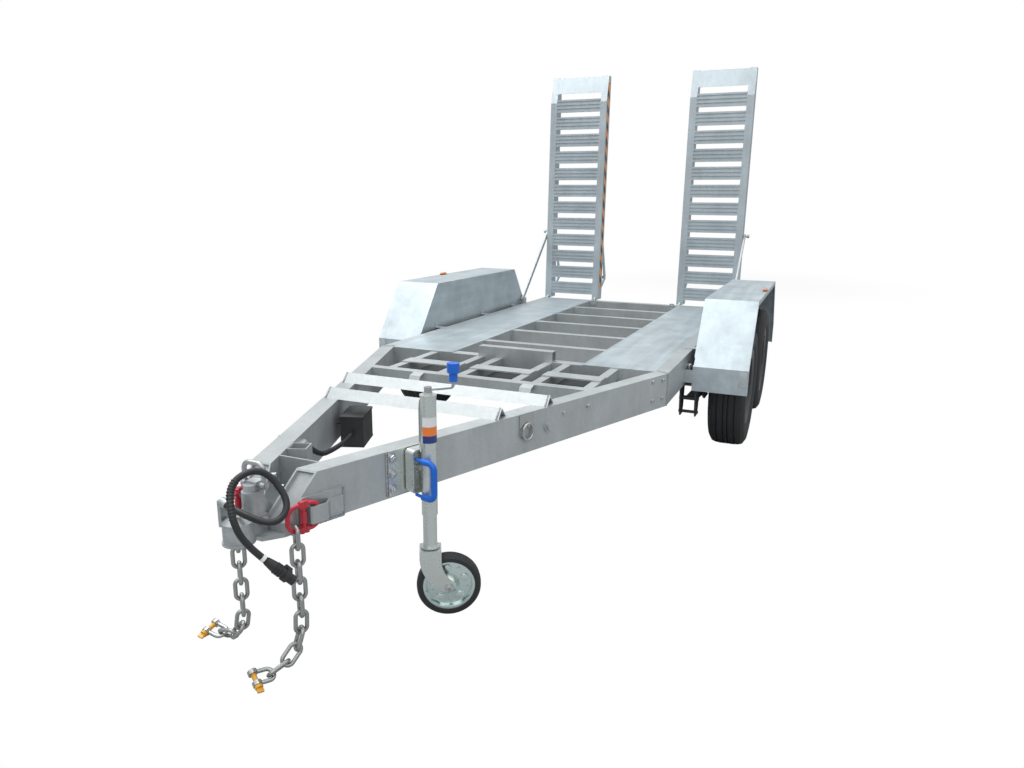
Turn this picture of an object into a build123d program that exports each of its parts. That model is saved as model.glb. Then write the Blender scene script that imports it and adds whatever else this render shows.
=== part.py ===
from build123d import *
import os
from math import atan, cos, degrees, radians, sin, sqrt, tan

# Galvanised tandem-axle plant trailer with two folding ramps, in millimetres.
# X runs to the right, Y to the rear and Z up from the ground.
# The origin is on the ground under the middle of the trailer.

# Frame
nose_y = -2107.0
frame_top = 550.0
rail_height = 150.0
rail_width = 65.0
rail_wall = 5.0
nose_half = 115.0
side_half = 752.0
kink_offset = 1674.0
deck_end_offset = 4110.0
nose_cut_reach = 100.0
nose_stub_height = 28.0

# Crossmembers
front_member_offset = 1212.0
front_member_width = 48.0
front_member_depth = 75.0
deck_member_offset = 1688.0
deck_member_width = 62.0
deck_member_depth = 75.0
well_half = 345.0
well_bar_count = 5
well_bar_width = 50.0
well_bar_depth = 90.0
stringer_width = 50.0
rear_member_width = 64.0
tube_wall = 4.0
deck_plate_thickness = 4.0

# Angle bars across the drawbar
angle_leg = 50.0
angle_thickness = 5.0
front_angle_offset = 705.0
rear_angle_offset = 945.0
angle_end_margin = 18.0

# Tool bays
bay_bar_width = 40.0
bay_bar_depth = 50.0
bay_bar_places = (-442.0, -185.0, -84.0, 174.0, 270.0, 500.0)
bay_plate_offset = 1398.0
bay_plate_width = 85.0
bay_plate_thickness = 6.0
tray_thickness = 6.0

# Bucket rest
rest_length = 390.0
rest_size = 50.0
rest_wall = 4.0

# Wheels
tyre_radius = 325.0
tyre_width = 192.0
rim_radius = 190.0
wheel_middle = 950.0
axle_middle_offset = 2961.0
axle_spacing = 810.0
axle_size = 50.0
hub_radius = 62.0
stub_radius = 19.0
running_gap = 0.05

# Mudguards
guard_inner = 790.0
guard_outer = 1060.0
guard_top = 814.0
guard_top_half = 596.0
guard_foot_half = 840.0
guard_knee = 499.0
guard_bottom = 374.0
guard_sheet = 4.0
guard_lip = 24.0
guard_inner_bottom = 540.0
tab_width = 45.0

# Suspension
spring_middle = 768.0
spring_width = 50.0
leaf_thickness = 8.0
leaf_count = 4
spring_half_length = 345.0
hanger_width = 84.0
hanger_length = 90.0
hanger_bottom = 222.0
spring_eye_z = 313.0
equaliser_width = 32.0

# Ramps
ramp_inner = 315.0
ramp_overhang = 13.0
stile_width = 50.0
stile_depth = 100.0
stile_wall = 4.0
ramp_foot_z = 548.0
ramp_top_z = 2250.0
ramp_front_offset = 4163.0
ramp_lean = 1.5
bevel_length = 190.0
bevel_depth = 42.0
tread_count = 12
tread_height = 92.0
tread_top_margin = 260.3
tread_first_z = 585.0
tread_depth = 24.0
hinge_gap = 32.0
hinge_z = 532.0
hinge_pin_radius = 10.0
hinge_clearance = 0.3
ear_radius = 18.0
ear_thickness = 14.0
foot_reach = 180.0
foot_tip_z = 705.0
foot_top_z = 1177.0
foot_plate = 8.0

# Ramp stays
stay_thickness = 12.0
stay_width = 30.0
stay_gap = 5.0
stay_pivot_offset = 3690.0
stay_pivot_z = 578.0
stay_pin_z = 1075.0
stay_pin_radius = 8.0
seat_gap = 0.3

# Jockey wheel
jockey_along = 343.0
jockey_standoff = 70.0
jockey_outer_radius = 24.5
jockey_inner_radius = 21.5
jockey_tube_wall = 3.0
jockey_top_z = 720.0
jockey_bottom_z = 341.0
jockey_pivot_z = 480.0
clamp_thickness = 8.0
clamp_front = 106.0
clamp_rear = 40.0
clamp_half_height = 72.0
bracket_front = 46.0
bracket_rear = 26.0
bracket_corner = 14.0
bracket_sheet = 5.0
bracket_half_height = 70.0
grip_low = 408.0
grip_high = 522.0
grip_reach = 46.0
grip_radius = 10.0
grip_rod_radius = 5.0
grip_offset = 9.5
jockey_wheel_radius = 102.0
jockey_wheel_width = 44.0
jockey_rim_radius = 78.0
jockey_trail = 57.0
fork_top_z = 232.0
fork_sheet = 5.0
trail_turn = 29.5
crank_radius = 76.0
crank_z = 738.0

# Coupling and chains
coupling_offset = -190.0
ball_radius = 25.0
ball_clearance = 0.5
socket_radius = 40.0
socket_bottom = 398.0
cup_shoulder = 458.0
cup_top = 476.0
column_offset = -136.0
column_radius = 24.0
coupling_rear_offset = -104.0
pivot_offset = -118.0
pivot_z = 536.0
coupling_top = 548.0
handle_half = 32.5
handle_bar = 7.0
handle_height = 61.0
cross_plate_offset = 64.0
cross_plate_bottom = 440.0
cross_plate_thickness = 6.0
nose_recess = 14.0
base_plate_thickness = 12.0
doubler_thickness = 8.0
doubler_front = -70.0
doubler_rear = 75.0
doubler_height = 88.0
strap_gap = 22.0
strap_thickness = 6.0
strap_front = -45.0
strap_rear = 8.0
strap_bottom = 416.0
strap_top = 466.0
lock_length = 110.0
lock_height = 86.0
lock_wire = 13.0
lock_corner = 30.0
lock_along = -62.0
lock_z = 441.0
lock_out = 23.2
hook_along = -87.0
right_hook_slack = 0.5
left_hook_slack = 2.0
link_wire = 12.0
link_length = 75.0
link_width = 44.0
link_gap = 0.4
bend_slack = 4.0
shackle_wire = 12.0
shackle_half = 18.0
shackle_length = 54.0
shackle_eye = 13.0
shackle_pin_radius = 7.0

# The chains' way along the ground, and each link's drop and roll in degrees
right_heading = (cos(radians(248)), sin(radians(248)))
right_run = [(90, 103), (90, 13)] * 2 + [(90, 103), (87, 13), (70, 103), (44, 28), (16, -47), (-10, -117)]
left_heading = (cos(radians(177)), sin(radians(177)))
left_run = [(90, -52), (90, 38)] * 3 + [(78, -52), (44, 48), (14, 148), (-8, 255)]

# Fittings on the drawbar and the side rail
box_offset = 690.0
box_gap = 74.0
box_width = 86.0
box_length = 150.0
box_height = 118.0
box_z = 446.0
pocket_offset = 165.0
pocket_half = 30.0
pocket_sheet = 4.0
lashing_ring_along = 856.0
lashing_link_offset = 2168.0
stub_along = 976.0

# Cable and conduit, with places counted in Y from the nose
cable_radius = 9.0
cable_route = [
    (-20, -202, 504),
    (116, -206, 460),
    (130, -128, 497),
    (72, -134, 580),
    (46, -178, 605),
    (27, -235, 581),
    (58, -270, 514),
    (88, -266, 444),
    (126, -232, 390),
]
conduit_radius = 8.0
conduit_route = [
    (-137, 268, 514),
    (-149, 345, 450),
    (-176, 450, 430),
    (-182, 555, 438),
    (-206.9, 619.7, 440),
]

# Worked out from the sizes above
kink_y = nose_y + kink_offset
tread_pitch = (ramp_top_z - tread_top_margin - tread_first_z) / (tread_count - 1)
ramp_outer = side_half + ramp_overhang
deck_end_y = nose_y + deck_end_offset
rail_bottom = frame_top - rail_height
rail_slope = (side_half - nose_half) / (kink_y - nose_y)
rail_turn = degrees(atan(rail_slope))
rail_span = rail_width / cos(radians(rail_turn))
mitre_y = kink_y + rail_width * tan(radians(rail_turn / 2))
front_member_y = nose_y + front_member_offset
deck_member_y = nose_y + deck_member_offset
rear_member_y = deck_end_y - rear_member_width
deck_seat = frame_top - deck_plate_thickness
well_pitch = (rear_member_y - deck_member_y) / (well_bar_count + 1)
axle_ys = (nose_y + axle_middle_offset - axle_spacing / 2, nose_y + axle_middle_offset + axle_spacing / 2)
guard_middle_y = nose_y + axle_middle_offset
hinge_y = deck_end_y + hinge_gap
rail_side = (cos(radians(rail_turn)), -sin(radians(rail_turn)))
rail_along = (sin(radians(rail_turn)), cos(radians(rail_turn)))

nodes = {}


def outer_edge(y):
    return nose_half + rail_slope * (y - nose_y)


def inner_edge(y):
    return outer_edge(y) - rail_span


def block(x0, x1, y0, y1, z0, z1):
    return Pos((x0 + x1) / 2, (y0 + y1) / 2, (z0 + z1) / 2) * Box(x1 - x0, y1 - y0, z1 - z0)


def plan_prism(points, z0, z1):
    face = make_face(Polyline(*points, close=True))
    return extrude(Pos(0, 0, z0) * face, amount=z1 - z0, dir=(0, 0, 1))


def side_prism(points, x0, x1):
    # The points are (y, z) pairs.
    face = make_face(Polyline(*[(0, y, z) for y, z in points], close=True))
    return extrude(Pos(x0, 0, 0) * face, amount=x1 - x0, dir=(1, 0, 0))


def rod_x(x0, x1, y, z, radius):
    return Pos((x0 + x1) / 2, y, z) * Rot(0, 90, 0) * Cylinder(radius, x1 - x0)


def rod_y(x, y0, y1, z, radius):
    return Pos(x, (y0 + y1) / 2, z) * Rot(90, 0, 0) * Cylinder(radius, y1 - y0)


def rod_z(x, y, z0, z1, radius):
    return Pos(x, y, (z0 + z1) / 2) * Cylinder(radius, z1 - z0)


def tube_along_x(x0, x1, y0, y1, z0, z1, wall):
    hole = block(x0 - 1, x1 + 1, y0 + wall, y1 - wall, z0 + wall, z1 - wall)
    return block(x0, x1, y0, y1, z0, z1) - hole


def tube_along_y(x0, x1, y0, y1, z0, z1, wall):
    hole = block(x0 + wall, x1 - wall, y0 - 1, y1 + 1, z0 + wall, z1 - wall)
    return block(x0, x1, y0, y1, z0, z1) - hole


def mirrored(shape):
    return mirror(shape, about=Plane.YZ)


def both_sides(name, right):
    nodes[name + "_right"] = right
    nodes[name + "_left"] = mirrored(right)


def drawbar_rail():
    # A hollow rail that runs in to the coupling, with a slanted, closed nose.
    front_y = nose_y - nose_cut_reach
    stub_top = rail_bottom + nose_stub_height
    across = rail_wall / cos(radians(rail_turn))

    def plan(inset, start_y):
        shift = inset / cos(radians(rail_turn))
        return [
            (outer_edge(start_y) - shift, start_y),
            (side_half - inset, kink_y + inset * tan(radians(rail_turn / 2))),
            (side_half - rail_width + inset, mitre_y - inset * tan(radians(rail_turn / 2))),
            (inner_edge(start_y) + shift, start_y),
        ]

    def above_slant(shift):
        return side_prism(
            [
                (nose_y + shift, frame_top),
                (front_y + shift, stub_top),
                (front_y - 60, stub_top),
                (front_y - 60, frame_top + 60),
                (nose_y + shift, frame_top + 60),
            ],
            -400,
            400,
        )

    body = plan_prism(plan(0, front_y), rail_bottom, frame_top) - above_slant(0)
    hollow = plan_prism(plan(rail_wall, front_y + across), rail_bottom + rail_wall, frame_top - rail_wall)
    recess = hollow & above_slant(nose_recess)
    hollow -= above_slant(nose_recess + 2 * rail_wall)
    return body - hollow - recess


def side_rail():
    def plan(inset):
        turn = tan(radians(rail_turn / 2))
        return [
            (side_half - inset, kink_y + inset * turn),
            (side_half - inset, rear_member_y),
            (side_half - rail_width + inset, rear_member_y),
            (side_half - rail_width + inset, mitre_y - inset * turn),
        ]

    body = plan_prism(plan(0), rail_bottom, frame_top)
    return body - plan_prism(plan(rail_wall), rail_bottom + rail_wall, frame_top - rail_wall)


def nose_plate():
    # The base plate under the rails carries the coupling, and a cross plate stands between the rails.
    front_y = nose_y - nose_cut_reach
    base_front = nose_y + coupling_offset + socket_radius + 3 + seat_gap
    base = plan_prism(
        [
            (-38, base_front),
            (38, base_front),
            (outer_edge(front_y), front_y),
            (outer_edge(nose_y) - 6, nose_y),
            (-outer_edge(nose_y) + 6, nose_y),
            (-outer_edge(front_y), front_y),
        ],
        rail_bottom - base_plate_thickness,
        rail_bottom,
    )
    y = nose_y + cross_plate_offset
    back = y + cross_plate_thickness
    cross = plan_prism(
        [(-inner_edge(y), y), (inner_edge(y), y), (inner_edge(back), back), (-inner_edge(back), back)],
        cross_plate_bottom,
        frame_top,
    )
    return Compound(children=[base, cross])


def front_crossmember():
    y0 = front_member_y
    y1 = y0 + front_member_width
    low = frame_top - front_member_depth
    plan = [(-inner_edge(y0), y0), (inner_edge(y0), y0), (inner_edge(y1), y1), (-inner_edge(y1), y1)]
    body = plan_prism(plan, low, frame_top)
    body -= block(-side_half, side_half, y0 + tube_wall, y1 - tube_wall, low + tube_wall, frame_top - tube_wall)
    for x in (-262.0, 262.0):
        body += hook_tab(x, y0)
    return body


def hook_tab(x, y):
    # A tab folded forward and down from the member, with an eye under its fold.
    top = side_prism(
        [
            (y, frame_top),
            (y - 34, frame_top - 8),
            (y - 44, frame_top - 26),
            (y - 40, frame_top - 28),
            (y - 31, frame_top - 12),
            (y, frame_top - 5),
        ],
        x - 26,
        x + 26,
    )
    return top + rod_x(x + 8, x + 20, y - 22, frame_top - 19, 9)


def angle_bar(offset):
    # An angle laid with its corner up across both rails.
    y = nose_y + offset
    run = angle_leg / sqrt(2)
    sheet = angle_thickness * sqrt(2)
    half = outer_edge(y) - angle_end_margin
    profile = [
        (y - run, frame_top),
        (y, frame_top + run),
        (y + run, frame_top),
        (y + run - sheet, frame_top),
        (y, frame_top + run - sheet),
        (y - run + sheet, frame_top),
    ]
    return side_prism(profile, -half, half)


def tool_bays():
    # Three frames of two bars, each with a flat plate across its middle.
    y0 = front_member_y + front_member_width
    bar_top = frame_top - bay_plate_thickness
    plate_y = nose_y + bay_plate_offset
    parts = []
    for left, right in zip(bay_bar_places[0::2], bay_bar_places[1::2]):
        bay = block(
            left - bay_bar_width / 2,
            right + bay_bar_width / 2,
            plate_y,
            plate_y + bay_plate_width,
            bar_top,
            frame_top,
        )
        for x in (left, right):
            bay += tube_along_y(
                x - bay_bar_width / 2,
                x + bay_bar_width / 2,
                y0,
                deck_member_y,
                bar_top - bay_bar_depth,
                bar_top,
                tube_wall,
            )
        parts.append(bay)
    return parts


def tray_floor():
    top = frame_top - bay_plate_thickness - bay_bar_depth
    left = bay_bar_places[0] - bay_bar_width / 2
    right = bay_bar_places[-1] + bay_bar_width / 2
    y0 = front_member_y + front_member_width
    return block(left, right, y0, deck_member_y, top - tray_thickness, top)


def deck_front_crossmember():
    half = side_half - rail_width
    y1 = deck_member_y + deck_member_width
    return tube_along_x(-half, half, deck_member_y, y1, deck_seat - deck_member_depth, deck_seat, tube_wall)


def bucket_rest():
    y0 = deck_member_y
    return tube_along_x(-rest_length / 2, rest_length / 2, y0, y0 + rest_size, deck_seat, deck_seat + rest_size, rest_wall)


def deck_stringer():
    # The bar along the edge of the well, with a short bar out to the rail at each crossmember.
    y0 = deck_member_y + deck_member_width
    low = deck_seat - well_bar_depth
    inner = well_half
    outer = well_half + stringer_width
    body = tube_along_y(inner, outer, y0, rear_member_y, low, deck_seat, tube_wall)
    for y in well_bar_ys():
        body += block(outer, side_half - rail_width, y, y + well_bar_width, deck_seat - 40, deck_seat)
    return body


def well_bar_ys():
    return [deck_member_y + well_pitch * (i + 1) for i in range(well_bar_count)]


def well_crossmembers():
    low = deck_seat - well_bar_depth
    return [
        tube_along_x(-well_half, well_half, y, y + well_bar_width, low, deck_seat, tube_wall)
        for y in well_bar_ys()
    ]


def rear_crossmember():
    # The full-width member with the ramp hinge lugs and pins behind it.
    body = tube_along_x(-side_half, side_half, rear_member_y, deck_end_y, rail_bottom, frame_top, rail_wall)
    for side in (-1, 1):
        stiles = (ramp_inner + stile_width / 2, ramp_outer - stile_width / 2)
        for x in stiles:
            x = side * x
            for lug_x in (x - ear_thickness / 2 - 6, x + ear_thickness / 2 + 6):
                body += hinge_lug(lug_x)
            reach = ear_thickness / 2 + 13
            body += rod_x(x - reach, x + reach, hinge_y, hinge_z, hinge_pin_radius)
    for x in (-1, 1):
        body += well_lug(x * (well_half - 40))
    return body


def hinge_lug(x):
    profile = [
        (deck_end_y - 1, hinge_z - 20),
        (hinge_y, hinge_z - 16),
        (hinge_y + 15, hinge_z - 8),
        (hinge_y + 15, hinge_z + 8),
        (hinge_y, hinge_z + 16),
        (deck_end_y - 1, hinge_z + 20),
    ]
    return side_prism(profile, x - 5, x + 5)


def well_lug(x):
    # A small lashing eye on the front edge of the rear member.
    y = rear_member_y
    lug = block(x - 16, x + 16, y - 8, y, frame_top - 30, frame_top + 16)
    return lug - rod_y(x, y - 12, y + 4, frame_top + 2, 7)


def deck_plate():
    return block(well_half, side_half - rail_width, deck_member_y, rear_member_y, deck_seat, frame_top)


def guard_profile(inset):
    y = guard_middle_y
    slope = (guard_foot_half - guard_top_half) / (guard_top - guard_knee)
    half_top = guard_top_half - inset * (sqrt(1 + slope * slope) - slope)
    half_foot = guard_foot_half - inset
    top = guard_top - inset
    knee = guard_knee - (0 if inset == 0 else inset * 0.3)
    return [
        (y - half_foot, guard_bottom - (1 if inset else 0)),
        (y - half_foot, knee),
        (y - half_top, top),
        (y + half_top, top),
        (y + half_foot, knee),
        (y + half_foot, guard_bottom - (1 if inset else 0)),
    ]


def mudguard():
    # A folded sheet over both wheels, closed on the deck side and lipped on the outer side.
    shell = side_prism(guard_profile(0), guard_inner, guard_outer)
    shell -= side_prism(guard_profile(guard_sheet), guard_inner + guard_sheet, guard_outer + 1)
    lip = side_prism(guard_profile(0), guard_outer - guard_sheet, guard_outer)
    lip -= side_prism(guard_profile(guard_lip), guard_outer - guard_sheet - 1, guard_outer + 1)
    shell += lip
    # The deck-side wall ends at the frame.
    y = guard_middle_y
    shell -= block(
        guard_inner - 1,
        guard_inner + guard_sheet + 0.01,
        y - guard_foot_half + guard_sheet,
        y + guard_foot_half - guard_sheet,
        guard_bottom - 2,
        guard_inner_bottom,
    )
    for tab_y in guard_tab_ys():
        shell += block(side_half - 40, guard_inner, tab_y, tab_y + tab_width, frame_top, frame_top + 4)
        shell += block(guard_inner - 4, guard_inner, tab_y, tab_y + tab_width, frame_top, frame_top + 26)
    for y_end in (y - guard_foot_half, y + guard_foot_half - 6):
        shell += block(side_half, guard_inner + guard_sheet, y_end, y_end + 6, guard_bottom + 40, guard_knee - 20)
    return shell


def guard_tab_ys():
    return [guard_middle_y - 640, guard_middle_y, guard_middle_y + 520]


def suspension():
    # Three hangers under the rail carry two leaf springs that the axles sit on.
    x0 = spring_middle - hanger_width / 2
    x1 = spring_middle + hanger_width / 2
    mids = (axle_ys[0], axle_ys[1])
    body = None
    hanger_ys = (mids[0] - spring_half_length, guard_middle_y, mids[1] + spring_half_length)
    for y in hanger_ys:
        half = hanger_length / 2
        profile = [
            (y - half - 14, rail_bottom),
            (y + half + 14, rail_bottom),
            (y + half, hanger_bottom + 34),
            (y + half - 20, hanger_bottom),
            (y - half + 20, hanger_bottom),
            (y - half, hanger_bottom + 34),
        ]
        hanger = side_prism(profile, x0, x1)
        hanger -= block(x0 + 7, x1 - 7, y - half - 20, y + half + 20, hanger_bottom - 1, rail_bottom - 8)
        hanger += block(side_half - rail_width, x0 + 1, y - half, y + half, rail_bottom - 8, rail_bottom)
        hanger += rod_x(x0 - 8, x1 + 8, y, spring_eye_z, 11)
        hanger += rod_x(x0 - 8, x1 + 8, y, hanger_bottom + 18, 8)
        body = hanger if body is None else body + hanger
    for y in mids:
        body += leaf_spring(y)
    # The equaliser joins the two springs through the middle hanger.
    overlap = 14
    y0 = mids[0] + spring_half_length - overlap
    y1 = mids[1] - spring_half_length + overlap
    half = equaliser_width / 2
    return body + block(spring_middle - half, spring_middle + half, y0, y1, spring_eye_z - 14, spring_eye_z + 8)


def leaf_spring(y):
    x0 = spring_middle - spring_width / 2
    top = tyre_radius - axle_size / 2 - seat_gap
    body = None
    for i in range(leaf_count):
        half = spring_half_length * (1 - 0.2 * i)
        drop = -leaf_thickness * i
        rise = 14.0 * (half / spring_half_length) ** 2
        low = top - leaf_thickness + drop
        inner = ThreePointArc(
            (0, y - half, low + rise),
            (0, y, low),
            (0, y + half, low + rise),
        )
        outer = ThreePointArc(
            (0, y + half, low + rise + leaf_thickness),
            (0, y, low + leaf_thickness),
            (0, y - half, low + rise + leaf_thickness),
        )
        ends = Line((0, y + half, low + rise), (0, y + half, low + rise + leaf_thickness))
        ends += Line((0, y - half, low + rise + leaf_thickness), (0, y - half, low + rise))
        face = make_face(inner + outer + ends)
        leaf = extrude(Pos(x0, 0, 0) * face, amount=spring_width, dir=(1, 0, 0))
        body = leaf if body is None else body + leaf
    low = top - leaf_thickness * leaf_count
    body += block(x0 - 14, x0 + spring_width + 14, y - 45, y + 45, low - 12, low + 1)
    for dx in (x0 - 8, x0 + spring_width + 8):
        for dy in (-32, 32):
            body += rod_z(dx, y + dy, low - 20, top + axle_size + 12, 6)
    plate_z = top + axle_size + 2 * seat_gap
    body += block(x0 - 14, x0 + spring_width + 14, y - 38, y + 38, plate_z, plate_z + 8)
    return body


def axle(y):
    half = wheel_middle - 75
    body = block(-half, half, y - axle_size / 2, y + axle_size / 2, tyre_radius - axle_size / 2, tyre_radius + axle_size / 2)
    for side in (-1, 1):
        end = side * half
        tip = side * (wheel_middle + 45)
        body += rod_x(min(end, tip), max(end, tip), y, tyre_radius, stub_radius)
    return body


def road_rim(side, y):
    # A pressed steel wheel with a hub and a brake drum behind it.
    x = side * wheel_middle
    profile = [
        (-78, rim_radius + 14),
        (-72, rim_radius - 2),
        (-30, rim_radius - 16),
        (40, rim_radius - 16),
        (72, rim_radius - 2),
        (78, rim_radius + 14),
        (85, rim_radius + 14),
        (76, rim_radius - 10),
        (44, rim_radius - 24),
        (24, 120),
        (30, 80),
        (30, hub_radius - 14),
        (66, hub_radius - 18),
        (72, stub_radius + running_gap),
        (-66, stub_radius + running_gap),
        (-66, 118),
        (-10, 118),
        (-10, 70),
        (24, 70),
        (18, 120),
        (34, rim_radius - 24),
        (-30, rim_radius - 24),
        (-76, rim_radius - 10),
        (-85, rim_radius + 14),
    ]
    face = make_face(Polyline(*[(dx, 0, r) for dx, r in profile], close=True))
    body = revolve(face, Axis.X, 360)
    if side < 0:
        body = mirrored(body)
    return Pos(x, y, tyre_radius) * body


def road_tyre(side, y):
    # A radial tyre with four grooves round its tread.
    half = tyre_width / 2
    tread = tyre_radius
    bead = rim_radius + 15
    rim_flange = 77.3
    profile = [
        (-rim_flange, bead),
        (-half + 5, bead + 24),
        (-half, bead + 60),
        (-half + 4, tread - 32),
        (-half + 18, tread - 9),
        (-62, tread - 3),
        (-48, tread - 1),
    ]
    for middle in (-44.5, -11.5, 11.5, 44.5):
        for dx, r in ((-3.5, tread), (-3.5, tread - 9), (3.5, tread - 9), (3.5, tread)):
            profile.append((middle + dx, r))
    profile += [
        (48, tread - 1),
        (62, tread - 3),
        (half - 18, tread - 9),
        (half - 4, tread - 32),
        (half, bead + 60),
        (half - 5, bead + 24),
        (rim_flange, bead),
        (rim_flange - 6, rim_radius - 1.5),
        (-rim_flange + 6, rim_radius - 1.5),
    ]
    face = make_face(Polyline(*[(dx, 0, r) for dx, r in profile], close=True))
    return Pos(side * wheel_middle, y, tyre_radius) * revolve(face, Axis.X, 360)


def ramp_at(height):
    # The ramp's front face at a height above the deck.
    return nose_y + ramp_front_offset + (height - ramp_foot_z) * tan(radians(ramp_lean))


def stile_profile(inset):
    top = ramp_top_z - inset
    front_low = ramp_at(ramp_foot_z)
    knee_z = ramp_top_z - bevel_length
    return [
        (front_low + inset, ramp_foot_z + inset),
        (ramp_at(knee_z) + inset, knee_z),
        (ramp_at(ramp_top_z) + bevel_depth + inset, top),
        (ramp_at(ramp_top_z) + stile_depth - inset, top),
        (front_low + stile_depth - inset, ramp_foot_z + inset),
    ]


def ramp():
    # Two hollow stiles joined by ribbed treads and a top plate, with a triangular foot behind each stile.
    body = None
    inner = ramp_inner + stile_width
    outer = ramp_outer - stile_width
    for x0 in (ramp_inner, outer):
        stile = side_prism(stile_profile(0), x0, x0 + stile_width)
        stile -= side_prism(stile_profile(stile_wall), x0 + stile_wall, x0 + stile_width - stile_wall)
        body = stile if body is None else body + stile
        body += ramp_ear(x0 + stile_width / 2)
        body += ramp_foot(x0 + (stile_width - foot_plate) / 2)
    for i in range(tread_count):
        z0 = tread_first_z + tread_pitch * i
        body += tread(inner, outer, z0)
    z0 = ramp_top_z - 122
    y0 = ramp_at(z0) + bevel_depth * 0.36
    y1 = ramp_at(ramp_top_z) + bevel_depth
    body += side_prism([(y0, z0), (y1, ramp_top_z - 4), (y1 + 6, ramp_top_z - 4), (y0 + 6, z0)], inner, outer)
    foot_y = ramp_at(foot_tip_z) + stile_depth + foot_reach
    body += rod_x(ramp_inner + stile_width / 2, ramp_outer - stile_width / 2, foot_y - 16, foot_tip_z, 12)
    return body


def tread(x0, x1, z0):
    # A pressed plank with three ribs across the way up.
    y = ramp_at(z0)
    dy = tread_height * tan(radians(ramp_lean))
    points = [(y + tread_depth, z0)]
    rib = tread_height / 7
    for k in range(7):
        depth = 0 if k % 2 == 0 else 6
        z = z0 + rib * k
        points.append((y + depth, z))
        points.append((y + depth + dy / 7, z + rib))
    points.append((y + tread_depth + dy, z0 + tread_height))
    points.append((y + tread_depth + dy, z0 + tread_height - 4))
    points.append((y + 12 + dy, z0 + tread_height - 4))
    points.append((y + 12, z0 + 4))
    points.append((y + tread_depth, z0 + 4))
    return side_prism(points, x0, x1)


def ramp_ear(x):
    y = ramp_at(ramp_foot_z)
    ear = side_prism(
        [
            (hinge_y - ear_radius * 0.6, hinge_z + ear_radius * 0.8),
            (y + 4, ramp_foot_z + 20),
            (y + 60, ramp_foot_z + 4),
            (hinge_y + ear_radius * 0.7, hinge_z - ear_radius * 0.7),
        ],
        x - ear_thickness / 2,
        x + ear_thickness / 2,
    )
    ear += rod_x(x - ear_thickness / 2, x + ear_thickness / 2, hinge_y, hinge_z, ear_radius)
    return ear - rod_x(x - 40, x + 40, hinge_y, hinge_z, hinge_pin_radius + hinge_clearance)


def ramp_foot(x0):
    def back(z):
        return ramp_at(z) + stile_depth

    tip_y = back(foot_tip_z) + foot_reach
    outer = side_prism(
        [
            (back(foot_top_z) - 2, foot_top_z),
            (tip_y, foot_tip_z + 14),
            (tip_y, foot_tip_z - 14),
            (back(ramp_foot_z + 30) - 2, ramp_foot_z + 30),
        ],
        x0,
        x0 + foot_plate,
    )
    hole = side_prism(
        [
            (back(foot_top_z) + 22, foot_top_z - 110),
            (tip_y - 48, foot_tip_z + 18),
            (tip_y - 48, foot_tip_z - 4),
            (back(ramp_foot_z + 30) + 22, ramp_foot_z + 66),
        ],
        x0 - 1,
        x0 + foot_plate + 1,
    )
    return outer - hole


def ramp_stay():
    # A flat bar beside the ramp, pinned to the rail, with a plunger that reaches to the stile.
    x0 = ramp_outer + stay_gap
    x1 = x0 + stay_thickness
    y0 = nose_y + stay_pivot_offset
    y1 = ramp_at(stay_pin_z) + stile_depth / 2
    run = sqrt((y1 - y0) ** 2 + (stay_pin_z - stay_pivot_z) ** 2)
    lean = degrees(atan((y1 - y0) / (stay_pin_z - stay_pivot_z)))
    bar = block(x0, x1, -stay_width / 2, stay_width / 2, 0, run)
    bar += rod_x(x0, x1, 0, 0, stay_width / 2)
    bar += rod_x(x0, x1, 0, run, stay_width / 2)
    bar -= rod_x(x0 - 1, x1 + 1, 0, 0, stay_pin_radius + hinge_clearance)
    bar += rod_x(ramp_outer + seat_gap, x1 + 8, 0, run, 7)
    bar += rod_x(x1 + 8, x1 + 26, 0, run, 13)
    return Pos(0, y0, stay_pivot_z) * Rot(-lean, 0, 0) * bar


def stay_lug():
    # The lug on the rail's outer face with the pin that the stay turns on.
    y = nose_y + stay_pivot_offset
    body = side_prism(
        [
            (y - 26, frame_top - 50),
            (y + 26, frame_top - 50),
            (y + 20, stay_pivot_z + 12),
            (y - 20, stay_pivot_z + 12),
        ],
        side_half,
        ramp_outer + stay_gap - 1,
    )
    x1 = ramp_outer + stay_gap + stay_thickness
    return body + rod_x(side_half, x1 + 4, y, stay_pivot_z, stay_pin_radius)


def on_rail(out, along, z):
    # A place by the right rail's outer face: out from it, along it from the nose corner, and a height.
    return (
        nose_half + out * rail_side[0] + along * rail_along[0],
        nose_y + out * rail_side[1] + along * rail_along[1],
        z,
    )


def rail_plane(out):
    # A plane against the right rail's outer face, with X along the rail and Y up.
    return Plane(origin=on_rail(out, 0, 0), x_dir=(*rail_along, 0), z_dir=(*rail_side, 0))


def rail_block(o0, o1, a0, a1, z0, z1):
    # A block square to the right rail's outer face.
    return rail_plane((o0 + o1) / 2) * Pos((a0 + a1) / 2, (z0 + z1) / 2, 0) * Box(a1 - a0, z1 - z0, o1 - o0)


def rail_rod(o0, o1, along, z, radius):
    return rail_plane((o0 + o1) / 2) * Pos(along, z, 0) * Cylinder(radius, o1 - o0)


def rail_strip(points, z0, z1):
    # The points are (along, out) pairs.
    return plan_prism([on_rail(out, along, 0)[:2] for along, out in points], z0, z1)


def jockey_axis():
    return on_rail(jockey_standoff, jockey_along, 0)[:2]


def jockey_clamp():
    z = jockey_pivot_z
    a = jockey_along
    low = z - clamp_half_height
    body = rail_block(0, clamp_thickness, a - clamp_front, a + clamp_rear, low, z + clamp_half_height)
    for height in (z - 50, z, z + 50):
        body += rail_rod(clamp_thickness, clamp_thickness + 10, a - clamp_front + 13, height, 9)
    body += rail_rod(clamp_thickness, clamp_thickness + 4, a, z, 22)
    return body + rail_rod(clamp_thickness, clamp_thickness + 20, a, z, 10)


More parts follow.
